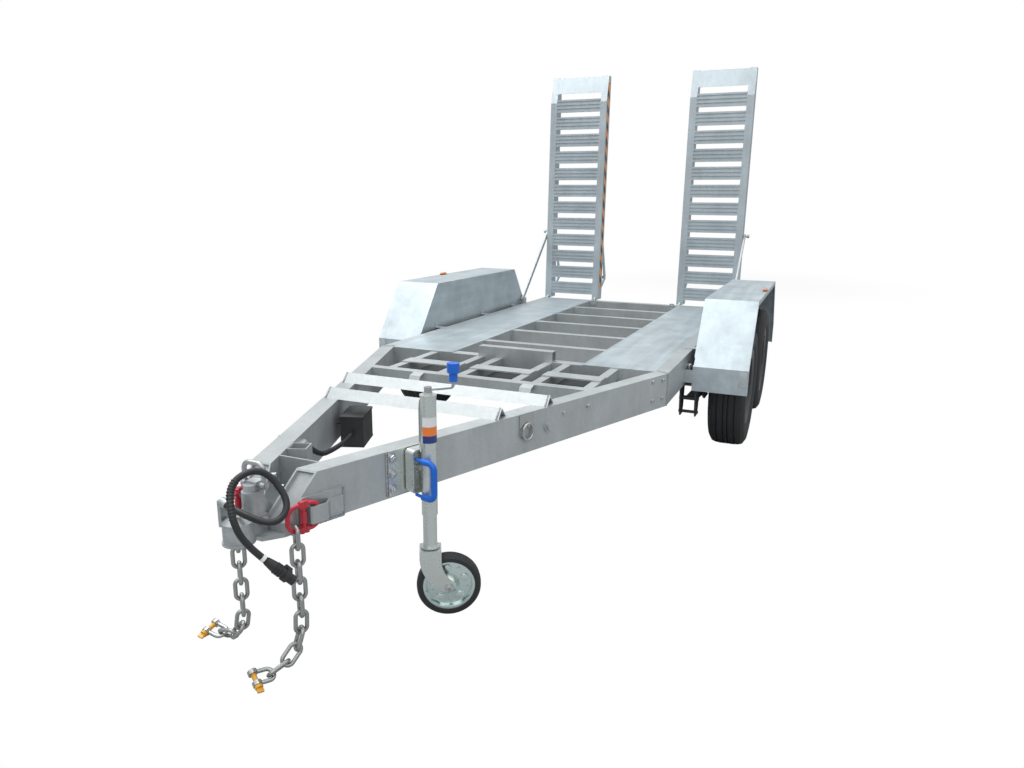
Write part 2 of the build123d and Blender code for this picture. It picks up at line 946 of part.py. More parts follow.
def jockey_leg():
    # The swivel bracket, the outer tube, its cap and the screw housing.
    z = jockey_pivot_z
    x, y = jockey_axis()
    near = clamp_thickness + 5
    far = jockey_standoff - jockey_outer_radius + 3
    sheet = bracket_sheet
    width = bracket_front + bracket_rear
    middle = jockey_along + (bracket_rear - bracket_front) / 2
    outer = RectangleRounded(width, 2 * bracket_half_height, bracket_corner)
    inner = RectangleRounded(width - 2 * sheet, 2 * (bracket_half_height - sheet), bracket_corner - sheet)
    body = rail_plane(near) * Pos(middle, z, 0) * extrude(outer, amount=far - near)
    body -= rail_plane(near + sheet) * Pos(middle, z, 0) * extrude(inner, amount=far - near)
    body -= rail_rod(near - 1, near + sheet + 12, jockey_along, z, 10 + hinge_clearance)
    body += rod_z(x, y, jockey_bottom_z, jockey_top_z, jockey_outer_radius)
    bore = jockey_inner_radius + 0.5
    body -= rod_z(x, y, jockey_bottom_z - 1, jockey_top_z - 12, bore)
    body += rod_z(x, y, jockey_top_z, jockey_top_z + 3, jockey_outer_radius + 1.5)
    body += rod_z(x, y, jockey_top_z + 2, crank_z - 8, 14)
    return body


def jockey_grip():
    # The pull handle: a bent grip on two rods.
    out = jockey_standoff + grip_radius
    along = jockey_along - jockey_outer_radius - grip_offset
    points = [
        on_rail(out, along, grip_high),
        on_rail(out + grip_reach, along + 6, grip_high),
        on_rail(out + grip_reach, along + 6, grip_low),
        on_rail(out, along, grip_low),
    ]
    path = FilletPolyline(*points, radius=22)
    section = Plane(origin=path @ 0, z_dir=path % 0) * Circle(grip_radius)
    bar = sweep(section, path=path)
    start = jockey_standoff - jockey_outer_radius + 3 + seat_gap
    for height in (grip_low, grip_high):
        bar += rail_rod(start, out + 4, along, height, grip_rod_radius)
    return bar


def jockey_inner():
    x, y = jockey_axis()
    body = rod_z(x, y, fork_top_z, jockey_top_z - 140, jockey_inner_radius)
    body -= rod_z(x, y, fork_top_z + 12, jockey_top_z - 139, jockey_inner_radius - jockey_tube_wall)
    return body + rod_z(x, y, fork_top_z, fork_top_z + 4, jockey_inner_radius + 8)


def in_trail(shape):
    # From the fork's own frame, with the wheel behind the leg along +X, to its place under the leg.
    x, y = jockey_axis()
    return Pos(x, y, 0) * Rot(0, 0, trail_turn) * shape


def jockey_fork():
    # A pressed fork whose two cheeks sweep back to the wheel's axle.
    cheek = jockey_wheel_width / 2 + 4
    z1 = fork_top_z - 4
    body = block(-34, 34, -cheek - fork_sheet, cheek + fork_sheet, z1 - 8, z1)
    zc = jockey_wheel_radius
    outline = Polyline((jockey_trail + 10, zc - 14), (jockey_trail - 16, zc - 14))
    outline += ThreePointArc((jockey_trail - 16, zc - 14), (-14, zc + 34), (-34, z1 - 30))
    outline += Polyline((-34, z1 - 30), (-34, z1), (34, z1), (34, z1 - 30))
    outline += ThreePointArc((34, z1 - 30), (42, zc + 52), (jockey_trail + 16, zc + 14))
    outline += Line((jockey_trail + 16, zc + 14), (jockey_trail + 10, zc - 14))
    blade = make_face(outline)
    for side in (-1, 1):
        y0 = side * cheek if side > 0 else -cheek - fork_sheet
        body += Pos(0, y0 + fork_sheet, 0) * Rot(90, 0, 0) * extrude(blade, amount=fork_sheet)
    body += rod_y(jockey_trail, -cheek - fork_sheet - 7, cheek + fork_sheet + 7, zc, 8)
    body += rod_z(0, 0, z1 - 1, fork_top_z - seat_gap, 12)
    return in_trail(body)


def jockey_rim():
    # A pressed disc wheel with a rim flange and a hub.
    half = jockey_wheel_width / 2
    r = jockey_rim_radius
    profile = [
        (-half + 4, r - 4),
        (-half + 4, r + 4),
        (half - 4, r + 4),
        (half - 4, r - 4),
        (6, r - 8),
        (4, 34),
        (half - 2, 22),
        (half + 2, 16),
        (half + 2, 8.4),
        (-half - 2, 8.4),
        (-half - 2, 16),
        (-half + 2, 22),
        (-4, 34),
        (-2, r - 8),
    ]
    face = make_face(Polyline(*[(r0, dy, 0) for dy, r0 in profile], close=True))
    wheel = revolve(face, Axis.Y, 360)
    return in_trail(Pos(jockey_trail, 0, jockey_wheel_radius) * wheel)


def jockey_tyre():
    half = jockey_wheel_width / 2
    r = jockey_rim_radius + 4
    outer = jockey_wheel_radius
    profile = [
        (-half, r),
        (-half, outer - 8),
        (-half + 7, outer - 1),
        (0, outer),
        (half - 7, outer - 1),
        (half, outer - 8),
        (half, r),
    ]
    face = make_face(Polyline(*[(r0, dy, 0) for dy, r0 in profile], close=True))
    wheel = revolve(face, Axis.Y, 360)
    return in_trail(Pos(jockey_trail, 0, jockey_wheel_radius) * wheel)


def jockey_crank():
    x, y = jockey_axis()
    path = FilletPolyline((0, 0, crank_z), (crank_radius, 0, crank_z + 8), (crank_radius, 0, crank_z + 46), radius=10)
    rod = sweep(Plane(origin=path @ 0, z_dir=path % 0) * Circle(5), path=path)
    rod += rod_z(0, 0, crank_z - 8 + seat_gap, crank_z + 8, 12)
    return Pos(x, y, 0) * Rot(0, 0, 22) * rod


def crank_knob():
    x, y = jockey_axis()
    knob = rod_z(crank_radius, 0, crank_z + 26, crank_z + 50, 13)
    knob += Pos(crank_radius, 0, crank_z + 52) * Cone(13, 19, 6)
    knob += rod_z(crank_radius, 0, crank_z + 54, crank_z + 82, 19)
    knob -= rod_z(crank_radius, 0, crank_z + 10, crank_z + 46, 5)
    return Pos(x, y, 0) * Rot(0, 0, 22) * knob


def coupling_body():
    # A cast ball coupling: the cup, the column that carries the handle, and a web back between the rails.
    y = nose_y + coupling_offset
    column_y = nose_y + column_offset
    pivot_y = nose_y + pivot_offset
    rear = nose_y + coupling_rear_offset
    body = rod_z(0, y, socket_bottom, cup_shoulder, socket_radius)
    dome = Cone(socket_radius, socket_radius / 2, cup_top - cup_shoulder, align=(Align.CENTER, Align.CENTER, Align.MIN))
    body += Pos(0, y, cup_shoulder) * dome
    body += rod_z(0, y, socket_bottom, socket_bottom + 8, socket_radius + 3)
    body += block(-column_radius, column_radius, y + 20, rear, rail_bottom, cup_shoulder - 6)
    body += rod_z(0, column_y, rail_bottom, coupling_top - 24, column_radius)
    body += rod_z(0, column_y, coupling_top - 26, coupling_top - 6, column_radius - 6)
    body += rod_z(0, rear - 10, rail_bottom, coupling_top - 40, 13)
    body += block(-18, 18, pivot_y - 14, pivot_y + 14, rail_bottom, coupling_top)
    body += rod_x(-column_radius - 8, column_radius + 8, rear - 22, 438, 9)
    body += side_prism([(rear - 2, rail_bottom), (rear - 2, pivot_z - 30), (nose_y - 12, rail_bottom)], -6, 6)
    ball = ball_radius + ball_clearance
    body -= rod_z(0, y, socket_bottom - 1, socket_bottom + 20, ball)
    body -= Pos(0, y, socket_bottom + 20) * Sphere(ball)
    body += rod_x(-handle_half - 9, handle_half + 9, pivot_y, pivot_z, 7)
    # The cable's gland stands on a bracket at the left of the cup.
    gland_x, gland_y, gland_z = cable_route[0]
    ahead = (Vector(*cable_route[1]) - Vector(*cable_route[0])).normalized()
    gland = Plane(origin=(gland_x, nose_y + gland_y, gland_z), z_dir=ahead) * Pos(0, 0, -11) * Cylinder(13, 22)
    bracket = block(gland_x - 24, gland_x - 14, y - 22, y + 4, cup_shoulder - 16, gland_z + 12)
    return body + bracket + gland


def coupling_handle():
    # The cast loop handle over the coupling, turning on the cross pin in the body.
    y = nose_y + pivot_offset
    path = FilletPolyline(
        (-handle_half, y, pivot_z),
        (-handle_half, y, pivot_z + handle_height),
        (handle_half, y, pivot_z + handle_height),
        (handle_half, y, pivot_z),
        radius=20,
    )
    loop = sweep(Plane(origin=path @ 0, z_dir=path % 0) * Circle(handle_bar), path=path)
    for side in (-1, 1):
        x0 = side * handle_half - 6
        loop += rod_x(x0, x0 + 12, y, pivot_z, 12)
    return loop - rod_x(-60, 60, y, pivot_z, 7 + hinge_clearance)


def free_tube(route, radius):
    # A tube along straight runs joined by arcs as large as the runs allow.
    points = [Vector(x, nose_y + y, z) for x, y, z in route]
    radii = []
    for before, here, after in zip(points, points[1:], points[2:]):
        arriving = here - before
        leaving = after - here
        turn = radians(arriving.get_angle(leaving))
        radii.append(0.45 * min(arriving.length, leaving.length) / tan(turn / 2))
    path = FilletPolyline(*points, radius=radii)
    print("free tube", round(path.length), "mm long, radii", [round(r) for r in radii])
    return sweep(Plane(origin=path @ 0, z_dir=path % 0) * Circle(radius), path=path)


def electric_plug():
    # A round plug in line with the cable's last run: a boot, a ribbed grip and a collar with a lid.
    end = Vector(*cable_route[-1])
    ahead = (end - Vector(*cable_route[-2])).normalized()
    place = Plane(origin=(end.X, nose_y + end.Y, end.Z), z_dir=ahead)
    low = (Align.CENTER, Align.CENTER, Align.MIN)
    plug = Cone(10.5, 14, 24, align=low)
    plug += Pos(0, 0, 24) * Cylinder(14, 46, align=low)
    for step_up in (30, 38, 46):
        plug += Pos(0, 0, step_up) * Cylinder(16, 4, align=low)
    plug += Pos(0, 0, 58) * Cylinder(17.5, 14, align=low)
    plug += Pos(0, 0, 72) * Cylinder(13, 20, align=low)
    plug += Pos(0, 19, 62) * Box(16, 8, 22)
    return place * plug


def ring(length, width, corner, wire):
    # A closed ring in the XY plane, its long way along X.
    path = RectangleRounded(length - wire, width - wire, corner).wire()
    return sweep(Plane(origin=path @ 0, z_dir=path % 0) * Circle(wire / 2), path=path)


def chain_link():
    return ring(link_length, link_width, (link_width - link_wire) / 2 - 0.01, link_wire)


def step(heading, drop):
    # The way that a link runs: a heading on the ground, and how steeply it drops.
    return Vector(heading[0] * cos(radians(drop)), heading[1] * cos(radians(drop)), -sin(radians(drop)))


def link_plane(centre, heading, drop, roll):
    ahead = step(heading, drop)
    side = Vector(-heading[1], heading[0], 0)
    normal = side * cos(radians(roll)) + ahead.cross(side) * sin(radians(roll))
    return Plane(origin=centre, x_dir=ahead, z_dir=normal)


def chain_and_shackle(side, heading, run, hook_slack):
    # Links that hang from the coupling link, bend round and end in a shackle on the ground.
    # The run gives each link's drop and roll, and the shackle's last.
    reach = (link_length - link_wire) / 2
    into_corner = lock_along - (lock_length - lock_wire) / 2 + lock_corner - hook_along
    rise = lock_corner - sqrt(lock_corner**2 - max(0, into_corner) ** 2)
    end = Vector(*on_rail(lock_out, hook_along, lock_z - (lock_height - lock_wire) / 2 + rise + hook_slack))
    end = Vector(side * end.X, end.Y, end.Z)
    touch = (lock_wire + link_wire) / 2 + link_gap
    last = step(heading, 90)
    links = []
    for drop, roll in run[:-1]:
        ahead = step(heading, drop)
        bend = (ahead - last).length
        start = end - (last + ahead).normalized() * (touch + bend_slack * bend)
        centre = start + ahead * reach
        links.append(link_plane(centre, heading, drop, roll) * chain_link())
        end = centre + ahead * reach
        touch = link_wire + link_gap
        last = ahead
    drop, roll = run[-1]
    ahead = step(heading, drop)
    bend = (ahead - last).length
    start = end - (last + ahead).normalized() * (touch + bend_slack * bend)
    bow, pin = shackle()
    place = link_plane(start, heading, drop, roll)
    return links, place * bow, place * pin


def shackle():
    # A bow from the origin along X, with an eye at each end and a pin across.
    w = shackle_half
    x = shackle_length
    path = Line((x, -w, 0), (w, -w, 0)) + ThreePointArc((w, -w, 0), (0, 0, 0), (w, w, 0))
    path += Line((w, w, 0), (x, w, 0))
    bow = sweep(Plane(origin=(x, -w, 0), z_dir=(-1, 0, 0)) * Circle(shackle_wire / 2), path=Wire(path.edges()))
    for y in (-w, w):
        bow += rod_y(x, y - shackle_wire / 2, y + shackle_wire / 2, 0, shackle_eye)
    bow -= rod_y(x, -2 * w, 2 * w, 0, shackle_pin_radius + 0.05)
    half = w + shackle_wire / 2
    pin = rod_y(x, -half - 8, half + 3, 0, shackle_pin_radius)
    pin += rod_y(x, -half - 8, -half - seat_gap, 0, shackle_pin_radius + 4)
    pin += Pos(x, -half - 14, 0) * Box(18, 14, 6)
    return bow, pin


def hammerlock():
    # A forged ring in two halves, joined by a pin down its middle.
    link = ring(lock_length, lock_height, lock_corner, lock_wire)
    half = (lock_height - lock_wire) / 2
    link += rod_y(0, -half - 8, half + 8, 0, 6)
    for y in (-half, half):
        for x in (-7, 7):
            link += rod_y(x, y - 9, y + 9, 0, 8)
    link += rod_y(0, -16, 16, 0, 9)
    return rail_plane(lock_out) * Pos(lock_along, lock_z, 0) * link


def chain_strap():
    # A plate on the rail's outer face, and the bent strap that the coupling link goes round.
    slope = nose_cut_reach / (rail_height - nose_stub_height) / rail_along[1]
    top = rail_bottom + doubler_height
    profile = [
        (doubler_front, rail_bottom),
        (doubler_front, frame_top + doubler_front / slope),
        (-slope * (frame_top - top), top),
        (doubler_rear, top),
        (doubler_rear, rail_bottom),
    ]
    face = make_face(Polyline(*[(a, z, 0) for a, z in profile], close=True))
    body = extrude(rail_plane(0) * face, amount=doubler_thickness, dir=(*rail_side, 0))
    near = doubler_thickness
    far = near + strap_gap
    end = far + strap_thickness
    strap = rail_strip(
        [
            (strap_front, near),
            (strap_front, end - 5),
            (strap_front + 5, end),
            (strap_rear, end),
            (strap_rear + 21, near + strap_thickness),
            (doubler_rear - 4, near + strap_thickness),
            (doubler_rear - 4, near),
            (strap_rear + 18, near),
            (strap_rear - 3, far),
            (strap_front + strap_thickness, far),
            (strap_front + strap_thickness, near),
        ],
        strap_bottom,
        strap_top,
    )
    return body + strap


def breakaway_box():
    # A battery box on a folded bracket on the left rail's inner face.
    y = nose_y + box_offset
    reach = box_gap * cos(radians(rail_turn))
    half = box_width / 2
    place = Pos(box_gap - inner_edge(y), y, box_z) * Rot(0, 0, rail_turn)
    bracket = Pos(-(reach + half) / 2, 0, 20) * Box(reach - half, 60, 5)
    return place * (Box(box_width, box_length, box_height) + bracket)


def conduit_elbow():
    # The block on the left rail's inner face that the conduit comes out of.
    x, y, z = conduit_route[0]
    ahead = (Vector(*conduit_route[1]) - Vector(*conduit_route[0])).normalized()
    stub = Plane(origin=(x, nose_y + y, z), z_dir=ahead) * Pos(0, 0, -10) * Cylinder(11, 20)
    base_y = nose_y + y - 23
    base = Pos(-inner_edge(base_y) + 8, base_y, z + 4) * Rot(0, 0, rail_turn) * Box(18, 26, 26)
    return base + stub


def lashing_ring():
    along = lashing_ring_along
    body = rail_block(0, 4, along - 38, along + 38, 500, 548)
    body += rail_rod(0, 14, along, 506, 6)
    eye = Rot(0, 0, 90) * ring(70, 62, 25, 11)
    return body + rail_plane(10) * Pos(along, 482, 0) * eye


def lashing_link():
    # A long link that hangs on a stud between the right rail and its mudguard.
    y = nose_y + lashing_link_offset
    body = block(side_half, side_half + 6, y - 18, y + 18, 478, 512)
    body += rod_x(side_half, side_half + 22, y, 496, 6)
    return body + Pos(side_half + 14, y, 455) * Rot(0, 90, 0) * ring(98, 40, 13, 10)


def rail_stub():
    return rail_rod(0, 6, stub_along, 478, 24) + rail_rod(6, 16, stub_along, 478, 16)


def rail_pocket():
    # An open-topped square pocket on the left rail's inner face.
    y = nose_y + pocket_offset
    outer = pocket_half
    inner = pocket_half - pocket_sheet
    pocket = block(-outer, outer, -outer, outer, -2 * outer, 0)
    pocket -= block(-inner, inner, -inner, inner, -2 * outer + pocket_sheet, 1)
    return Pos(31 - inner_edge(y), y, frame_top - 2) * Rot(0, 0, rail_turn) * pocket


def build_nodes():
    rail = drawbar_rail()
    strap = chain_strap()
    nodes["drawbar_rail_right"] = rail + strap + rail_stub()
    nodes["drawbar_rail_left"] = mirrored(rail + strap) + rail_pocket() + conduit_elbow()
    both_sides("side_rail", side_rail() + stay_lug())
    nodes["nose_plate"] = nose_plate()
    nodes["front_crossmember"] = front_crossmember()
    nodes["angle_bars"] = Compound(children=[angle_bar(front_angle_offset), angle_bar(rear_angle_offset)])
    nodes["tool_bays"] = Compound(children=tool_bays())
    nodes["tray_floor"] = tray_floor()
    nodes["deck_front_crossmember"] = deck_front_crossmember()
    nodes["bucket_rest"] = bucket_rest()
    both_sides("deck_stringer", deck_stringer())
    nodes["well_crossmembers"] = Compound(children=well_crossmembers())
    nodes["rear_crossmember"] = rear_crossmember()
    both_sides("deck_plate", deck_plate())
    both_sides("mudguard", mudguard())
    both_sides("suspension", suspension())
    for place, y in zip(("front", "rear"), axle_ys):
        nodes["axle_" + place] = axle(y)
        for hand, side in (("left", -1), ("right", 1)):
            nodes["wheel_" + place + "_" + hand] = road_rim(side, y)
            nodes["tyre_" + place + "_" + hand] = road_tyre(side, y)
    both_sides("ramp", ramp())
    both_sides("ramp_stay", ramp_stay())
    nodes["jockey_clamp"] = jockey_clamp()
    nodes["jockey_leg"] = jockey_leg()
    nodes["jockey_grip"] = jockey_grip()
    nodes["jockey_inner"] = jockey_inner()
    nodes["jockey_fork"] = jockey_fork()
    nodes["jockey_rim"] = jockey_rim()
    nodes["jockey_tyre"] = jockey_tyre()
    nodes["jockey_crank"] = jockey_crank()
    nodes["crank_knob"] = crank_knob()
    nodes["coupling_body"] = coupling_body()
    nodes["coupling_handle"] = coupling_handle()
    both_sides("hammerlock", hammerlock())
    right = chain_and_shackle(1, right_heading, right_run, right_hook_slack)
    left = chain_and_shackle(-1, left_heading, left_run, left_hook_slack)
    nodes["chain_right"] = Compound(children=right[0])
    nodes["chain_left"] = Compound(children=left[0])
    nodes["shackles"] = Compound(children=[right[1], left[1]])
    nodes["shackle_pins"] = Compound(children=[right[2], left[2]])
    nodes["breakaway_box"] = breakaway_box()
    nodes["lashing_ring"] = lashing_ring()
    nodes["lashing_link"] = lashing_link()
    nodes["electric_cable"] = free_tube(cable_route, cable_radius)
    nodes["electric_plug"] = electric_plug()
    nodes["brake_conduit"] = free_tube(conduit_route, conduit_radius)


def main():
    os.makedirs("parts", exist_ok=True)
    build_nodes()
    for name, shape in nodes.items():
        export_step(shape, os.path.join("parts", name + ".step"))


main()
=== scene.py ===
import math
import bpy
import bmesh
from mathutils import Matrix, Vector


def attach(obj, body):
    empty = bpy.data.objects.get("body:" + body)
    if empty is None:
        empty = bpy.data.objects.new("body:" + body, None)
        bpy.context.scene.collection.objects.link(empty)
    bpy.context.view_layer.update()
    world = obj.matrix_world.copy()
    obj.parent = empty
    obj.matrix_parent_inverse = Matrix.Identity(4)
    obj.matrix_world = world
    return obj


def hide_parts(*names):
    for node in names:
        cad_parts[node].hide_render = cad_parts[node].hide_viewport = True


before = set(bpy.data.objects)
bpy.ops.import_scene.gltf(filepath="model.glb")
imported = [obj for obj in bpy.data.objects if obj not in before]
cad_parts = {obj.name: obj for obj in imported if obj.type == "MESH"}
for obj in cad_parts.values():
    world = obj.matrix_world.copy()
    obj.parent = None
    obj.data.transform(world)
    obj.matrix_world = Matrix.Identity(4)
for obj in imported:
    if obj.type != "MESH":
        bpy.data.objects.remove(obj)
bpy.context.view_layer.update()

scene = bpy.context.scene

# the trailer's own measures, in metres
noseY = -2.107
noseHalf = 0.115
sideHalf = 0.752
kinkBack = 1.674
railTurn = math.atan((sideHalf - noseHalf) / kinkBack)
railAlong = Vector((math.sin(railTurn), math.cos(railTurn), 0))
railOut = Vector((math.cos(railTurn), -math.sin(railTurn), 0))


def onRail(out, along, height):
    # a place by the right rail's outer face, counted from its nose corner
    corner = Vector((noseHalf, noseY, 0))
    return corner + railOut * out + railAlong * along + Vector((0, 0, height))


print("camera")
cameraSettings = {
    "place": (1.358, noseY - 1.566, 1.270),
    "lens": 25.88,
    "downTilt": 13.553,
    "turn": 22.84,
    "roll": 0.659,
}


def addCamera(settings):
    tilt = math.radians(settings["downTilt"])
    turn = math.radians(settings["turn"])
    roll = math.radians(settings["roll"])
    level = math.cos(tilt)
    ahead = Vector((-math.sin(turn) * level, math.cos(turn) * level, -math.sin(tilt)))
    right = Vector((math.cos(turn), math.sin(turn), 0))
    up = right.cross(ahead)
    rolledRight = right * math.cos(roll) + up * math.sin(roll)
    rolledUp = up * math.cos(roll) - right * math.sin(roll)
    data = bpy.data.cameras.new("camera")
    data.lens = settings["lens"]
    data.sensor_width = 36
    data.clip_end = 60
    camera = bpy.data.objects.new("camera", data)
    scene.collection.objects.link(camera)
    turned = Matrix((rolledRight, rolledUp, -ahead)).transposed().to_4x4()
    camera.matrix_world = Matrix.Translation(settings["place"]) @ turned
    scene.camera = camera


addCamera(cameraSettings)


# shader maths written as expressions
class Value:
    def __init__(self, tree, socket):
        self.tree = tree
        self.socket = socket

    def math(self, operation, *others):
        return self.tree.node("ShaderNodeMath", {"operation": operation}, [self, *others])

    def __add__(self, other):
        return self.math("ADD", other)

    __radd__ = __add__

    def __mul__(self, other):
        return self.math("MULTIPLY", other)

    __rmul__ = __mul__

    def __sub__(self, other):
        return self.math("SUBTRACT", other)

    def __rsub__(self, other):
        return self.tree.node("ShaderNodeMath", {"operation": "SUBTRACT"}, [other, self])

    def __gt__(self, other):
        return self.math("GREATER_THAN", other)

    def clamp(self):
        return self.tree.node("ShaderNodeClamp", {}, [self])

    def wave(self):
        return self.math("SINE")


class Tree:
    def __init__(self, name):
        self.material = bpy.data.materials.new(name)
        self.material.use_nodes = True
        self.nodes = self.material.node_tree.nodes
        self.links = self.material.node_tree.links
        self.shader = self.nodes["Principled BSDF"]

    def node(self, kind, settings=None, inputs=None, output=0):
        made = self.nodes.new(kind)
        for key, value in (settings or {}).items():
            if key == "stops":
                ramp = made.color_ramp
                for place, colour in value[len(ramp.elements):]:
                    ramp.elements.new(place)
                for element, (place, colour) in zip(ramp.elements, value):
                    element.position = place
                    element.color = (*colour, 1) if len(colour) == 3 else colour
            else:
                setattr(made, key, value)
        pairs = enumerate(inputs) if isinstance(inputs, list) else (inputs or {}).items()
        for key, value in pairs:
            self.plug(made.inputs[key], value)
        return Value(self, made.outputs[output])

    def plug(self, socket, value):
        if isinstance(value, Value):
            self.links.new(value.socket, socket)
        else:
            socket.default_value = value

    def place(self, scale=(1, 1, 1), turn=(0, 0, 0)):
        coordinates = self.node("ShaderNodeTexCoord", output="Object")
        inputs = {"Vector": coordinates, "Scale": scale, "Rotation": turn}
        return self.node("ShaderNodeMapping", {}, inputs)

    def noise(self, scale, detail=3.0, rough=0.55, at=None):
        at = at or self.node("ShaderNodeTexCoord", output="Object")
        inputs = {"Vector": at, "Scale": scale, "Detail": detail, "Roughness": rough}
        return self.node("ShaderNodeTexNoise", {}, inputs)

    def ramp(self, factor, low, high):
        inputs = {"Value": factor, "From Min": low, "From Max": high}
        return self.node("ShaderNodeMapRange", {"clamp": True}, inputs)

    def mix(self, factor, first, second, blend="MIX"):
        inputs = {0: factor, 6: first, 7: second}
        return self.node("ShaderNodeMix", {"data_type": "RGBA", "blend_type": blend}, inputs, output=2)

    def bump(self, height, distance, strength=1.0, normal=None):
        inputs = {"Height": height, "Distance": distance, "Strength": strength}
        if normal is not None:
            inputs["Normal"] = normal
        return self.node("ShaderNodeBump", {}, inputs)

    def finish(self, **sockets):
        for name, value in sockets.items():
            self.plug(self.shader.inputs[name.replace("_", " ")], value)
        return self.material


print("finishes")


def galvanised(name, tone, spangle=0.06, metallic=0.55, rough=0.42, streak=0.05):
    # hot-dip zinc: cloudy bluish grey, faint crystals, darker drips and a few bare scuffs
    tree = Tree(name)
    cloud = tree.noise(5.0, 4.0)
    fine = tree.noise(60.0, 3.0)
    crystals = tree.node("ShaderNodeTexVoronoi", {}, {"Vector": tree.place(), "Scale": 110.0}, output="Color")
    grain = tree.node("ShaderNodeSeparateColor", {}, [crystals])
    drips = tree.noise(1.0, 4.0, at=tree.place(scale=(28, 28, 3.5)))
    shade = (cloud - 0.5) * 0.42 + (grain - 0.5) * spangle + (drips - 0.5) * streak * 4 + 1.0
    dark = tuple(channel * 0.70 for channel in tone)
    mask = tree.ramp(shade, 0.82, 1.14)
    colour = tree.mix(mask, (*dark, 1), (*tone, 1))
    scuffs = tree.ramp(tree.noise(14.0, 6.0, 0.7), 0.66, 0.74)
    whiter = tuple(min(1.0, channel * 1.2) for channel in tone)
    colour = tree.mix(scuffs * 0.35, colour, (*whiter, 1))
    roughness = (fine - 0.5) * 0.18 + (cloud - 0.5) * 0.2 + rough
    height = fine * 0.4 + cloud * 0.6
    return tree.finish(
        Base_Color=colour,
        Metallic=metallic,
        Roughness=roughness.clamp(),
        Normal=tree.bump(height, 0.0008, 0.5),
    )


def sheetZinc(name, tone):
    # thin rolled sheet, rippled by the dip, with pale rubbed tracks along it
    tree = Tree(name)
    ripple = tree.noise(2.4, 2.0)
    cloud = tree.noise(7.0, 4.0)
    tracks = tree.noise(1.0, 5.0, 0.65, at=tree.place(scale=(22, 1.6, 22)))
    dark = tuple(channel * 0.62 for channel in tone)
    slanted = tree.place(scale=(6, 34, 9), turn=(0.5, 0.6, 0.4))
    scrapes = tree.ramp(tree.noise(1.0, 6.0, 0.75, at=slanted), 0.60, 0.68)
    mask = ((cloud - 0.5) * 1.3 + (tracks - 0.5) * 1.2 + scrapes * 0.5 + 0.5).clamp()
    colour = tree.mix(mask, (*dark, 1), (*tone, 1))
    roughness = (tracks - 0.5) * 0.3 + 0.38
    return tree.finish(
        Base_Color=colour,
        Metallic=0.5,
        Roughness=roughness.clamp(),
        Normal=tree.bump(ripple + cloud * 0.12, 0.010, 0.35),
    )


def brightZinc(name, tone, rough=0.30, metallic=0.85):
    # bright plated steel with a faint yellow bloom and dull patches
    tree = Tree(name)
    cloud = tree.noise(26.0, 4.0)
    fine = tree.noise(180.0, 2.0)
    warm = (tone[0] * 0.92, tone[1] * 0.86, tone[2] * 0.72, 1)
    colour = tree.mix(tree.ramp(cloud, 0.52, 0.75) * 0.5, (*tone, 1), warm)
    roughness = (cloud - 0.5) * 0.35 + (fine - 0.5) * 0.1 + rough
    return tree.finish(
        Base_Color=colour,
        Metallic=metallic,
        Roughness=roughness.clamp(),
        Normal=tree.bump(fine, 0.0001, 0.12),
    )


def castMetal(name, tone):
    tree = Tree(name)
    grain = tree.noise(240.0, 4.0)
    cloud = tree.noise(18.0, 3.0)
    dark = tuple(channel * 0.66 for channel in tone)
    colour = tree.mix(tree.ramp(cloud, 0.35, 0.68), (*dark, 1), (*tone, 1))
    return tree.finish(
        Base_Color=colour,
        Metallic=0.7,
        Roughness=((cloud - 0.5) * 0.3 + 0.42).clamp(),
        Normal=tree.bump(grain, 0.0012, 0.6),
    )


def tyreRubber(name):
    # black rubber, dusty grey over the tread and round the wall
    tree = Tree(name)
    dust = tree.noise(9.0, 5.0, 0.65)
    grain = tree.noise(150.0, 3.0)
    mask = tree.ramp(dust, 0.45, 0.75) * 0.12
    colour = tree.mix(mask, (0.022, 0.022, 0.024, 1), (0.13, 0.125, 0.12, 1))
    return tree.finish(
        Base_Color=colour,
        Roughness=((dust - 0.5) * 0.25 + 0.68).clamp(),
        Normal=tree.bump(grain, 0.0006, 0.5),
    )


def glossPaint(name, tone, rough=0.28, coat=0.5, wear=0.12):
    tree = Tree(name)
    cloud = tree.noise(30.0, 4.0)
    fine = tree.noise(220.0, 3.0)
    dark = tuple(channel * 0.72 for channel in tone)
    colour = tree.mix(tree.ramp(cloud, 0.4, 0.75), (*tone, 1), (*dark, 1))
    chips = tree.ramp(tree.noise(75.0, 6.0, 0.75), 0.70, 0.73)
    colour = tree.mix(chips * wear * 6, colour, (0.16, 0.15, 0.15, 1))
    return tree.finish(
        Base_Color=colour,
        Roughness=((cloud - 0.5) * 0.2 + rough).clamp(),
        Coat_Weight=coat,
        Coat_Roughness=0.15,
        Normal=tree.bump(fine, 0.0003, 0.4),
    )


def plainPlastic(name, tone, rough=0.45, grainScale=300.0):
    tree = Tree(name)
    grain = tree.noise(grainScale, 2.0)
    cloud = tree.noise(20.0, 3.0)
    paler = tuple(min(1.0, channel * 1.35 + 0.01) for channel in tone)
    colour = tree.mix(tree.ramp(cloud, 0.45, 0.8) * 0.6, (*tone, 1), (*paler, 1))
    return tree.finish(
        Base_Color=colour,
        Roughness=((cloud - 0.5) * 0.2 + rough).clamp(),
        Normal=tree.bump(grain, 0.0003, 0.5),
    )


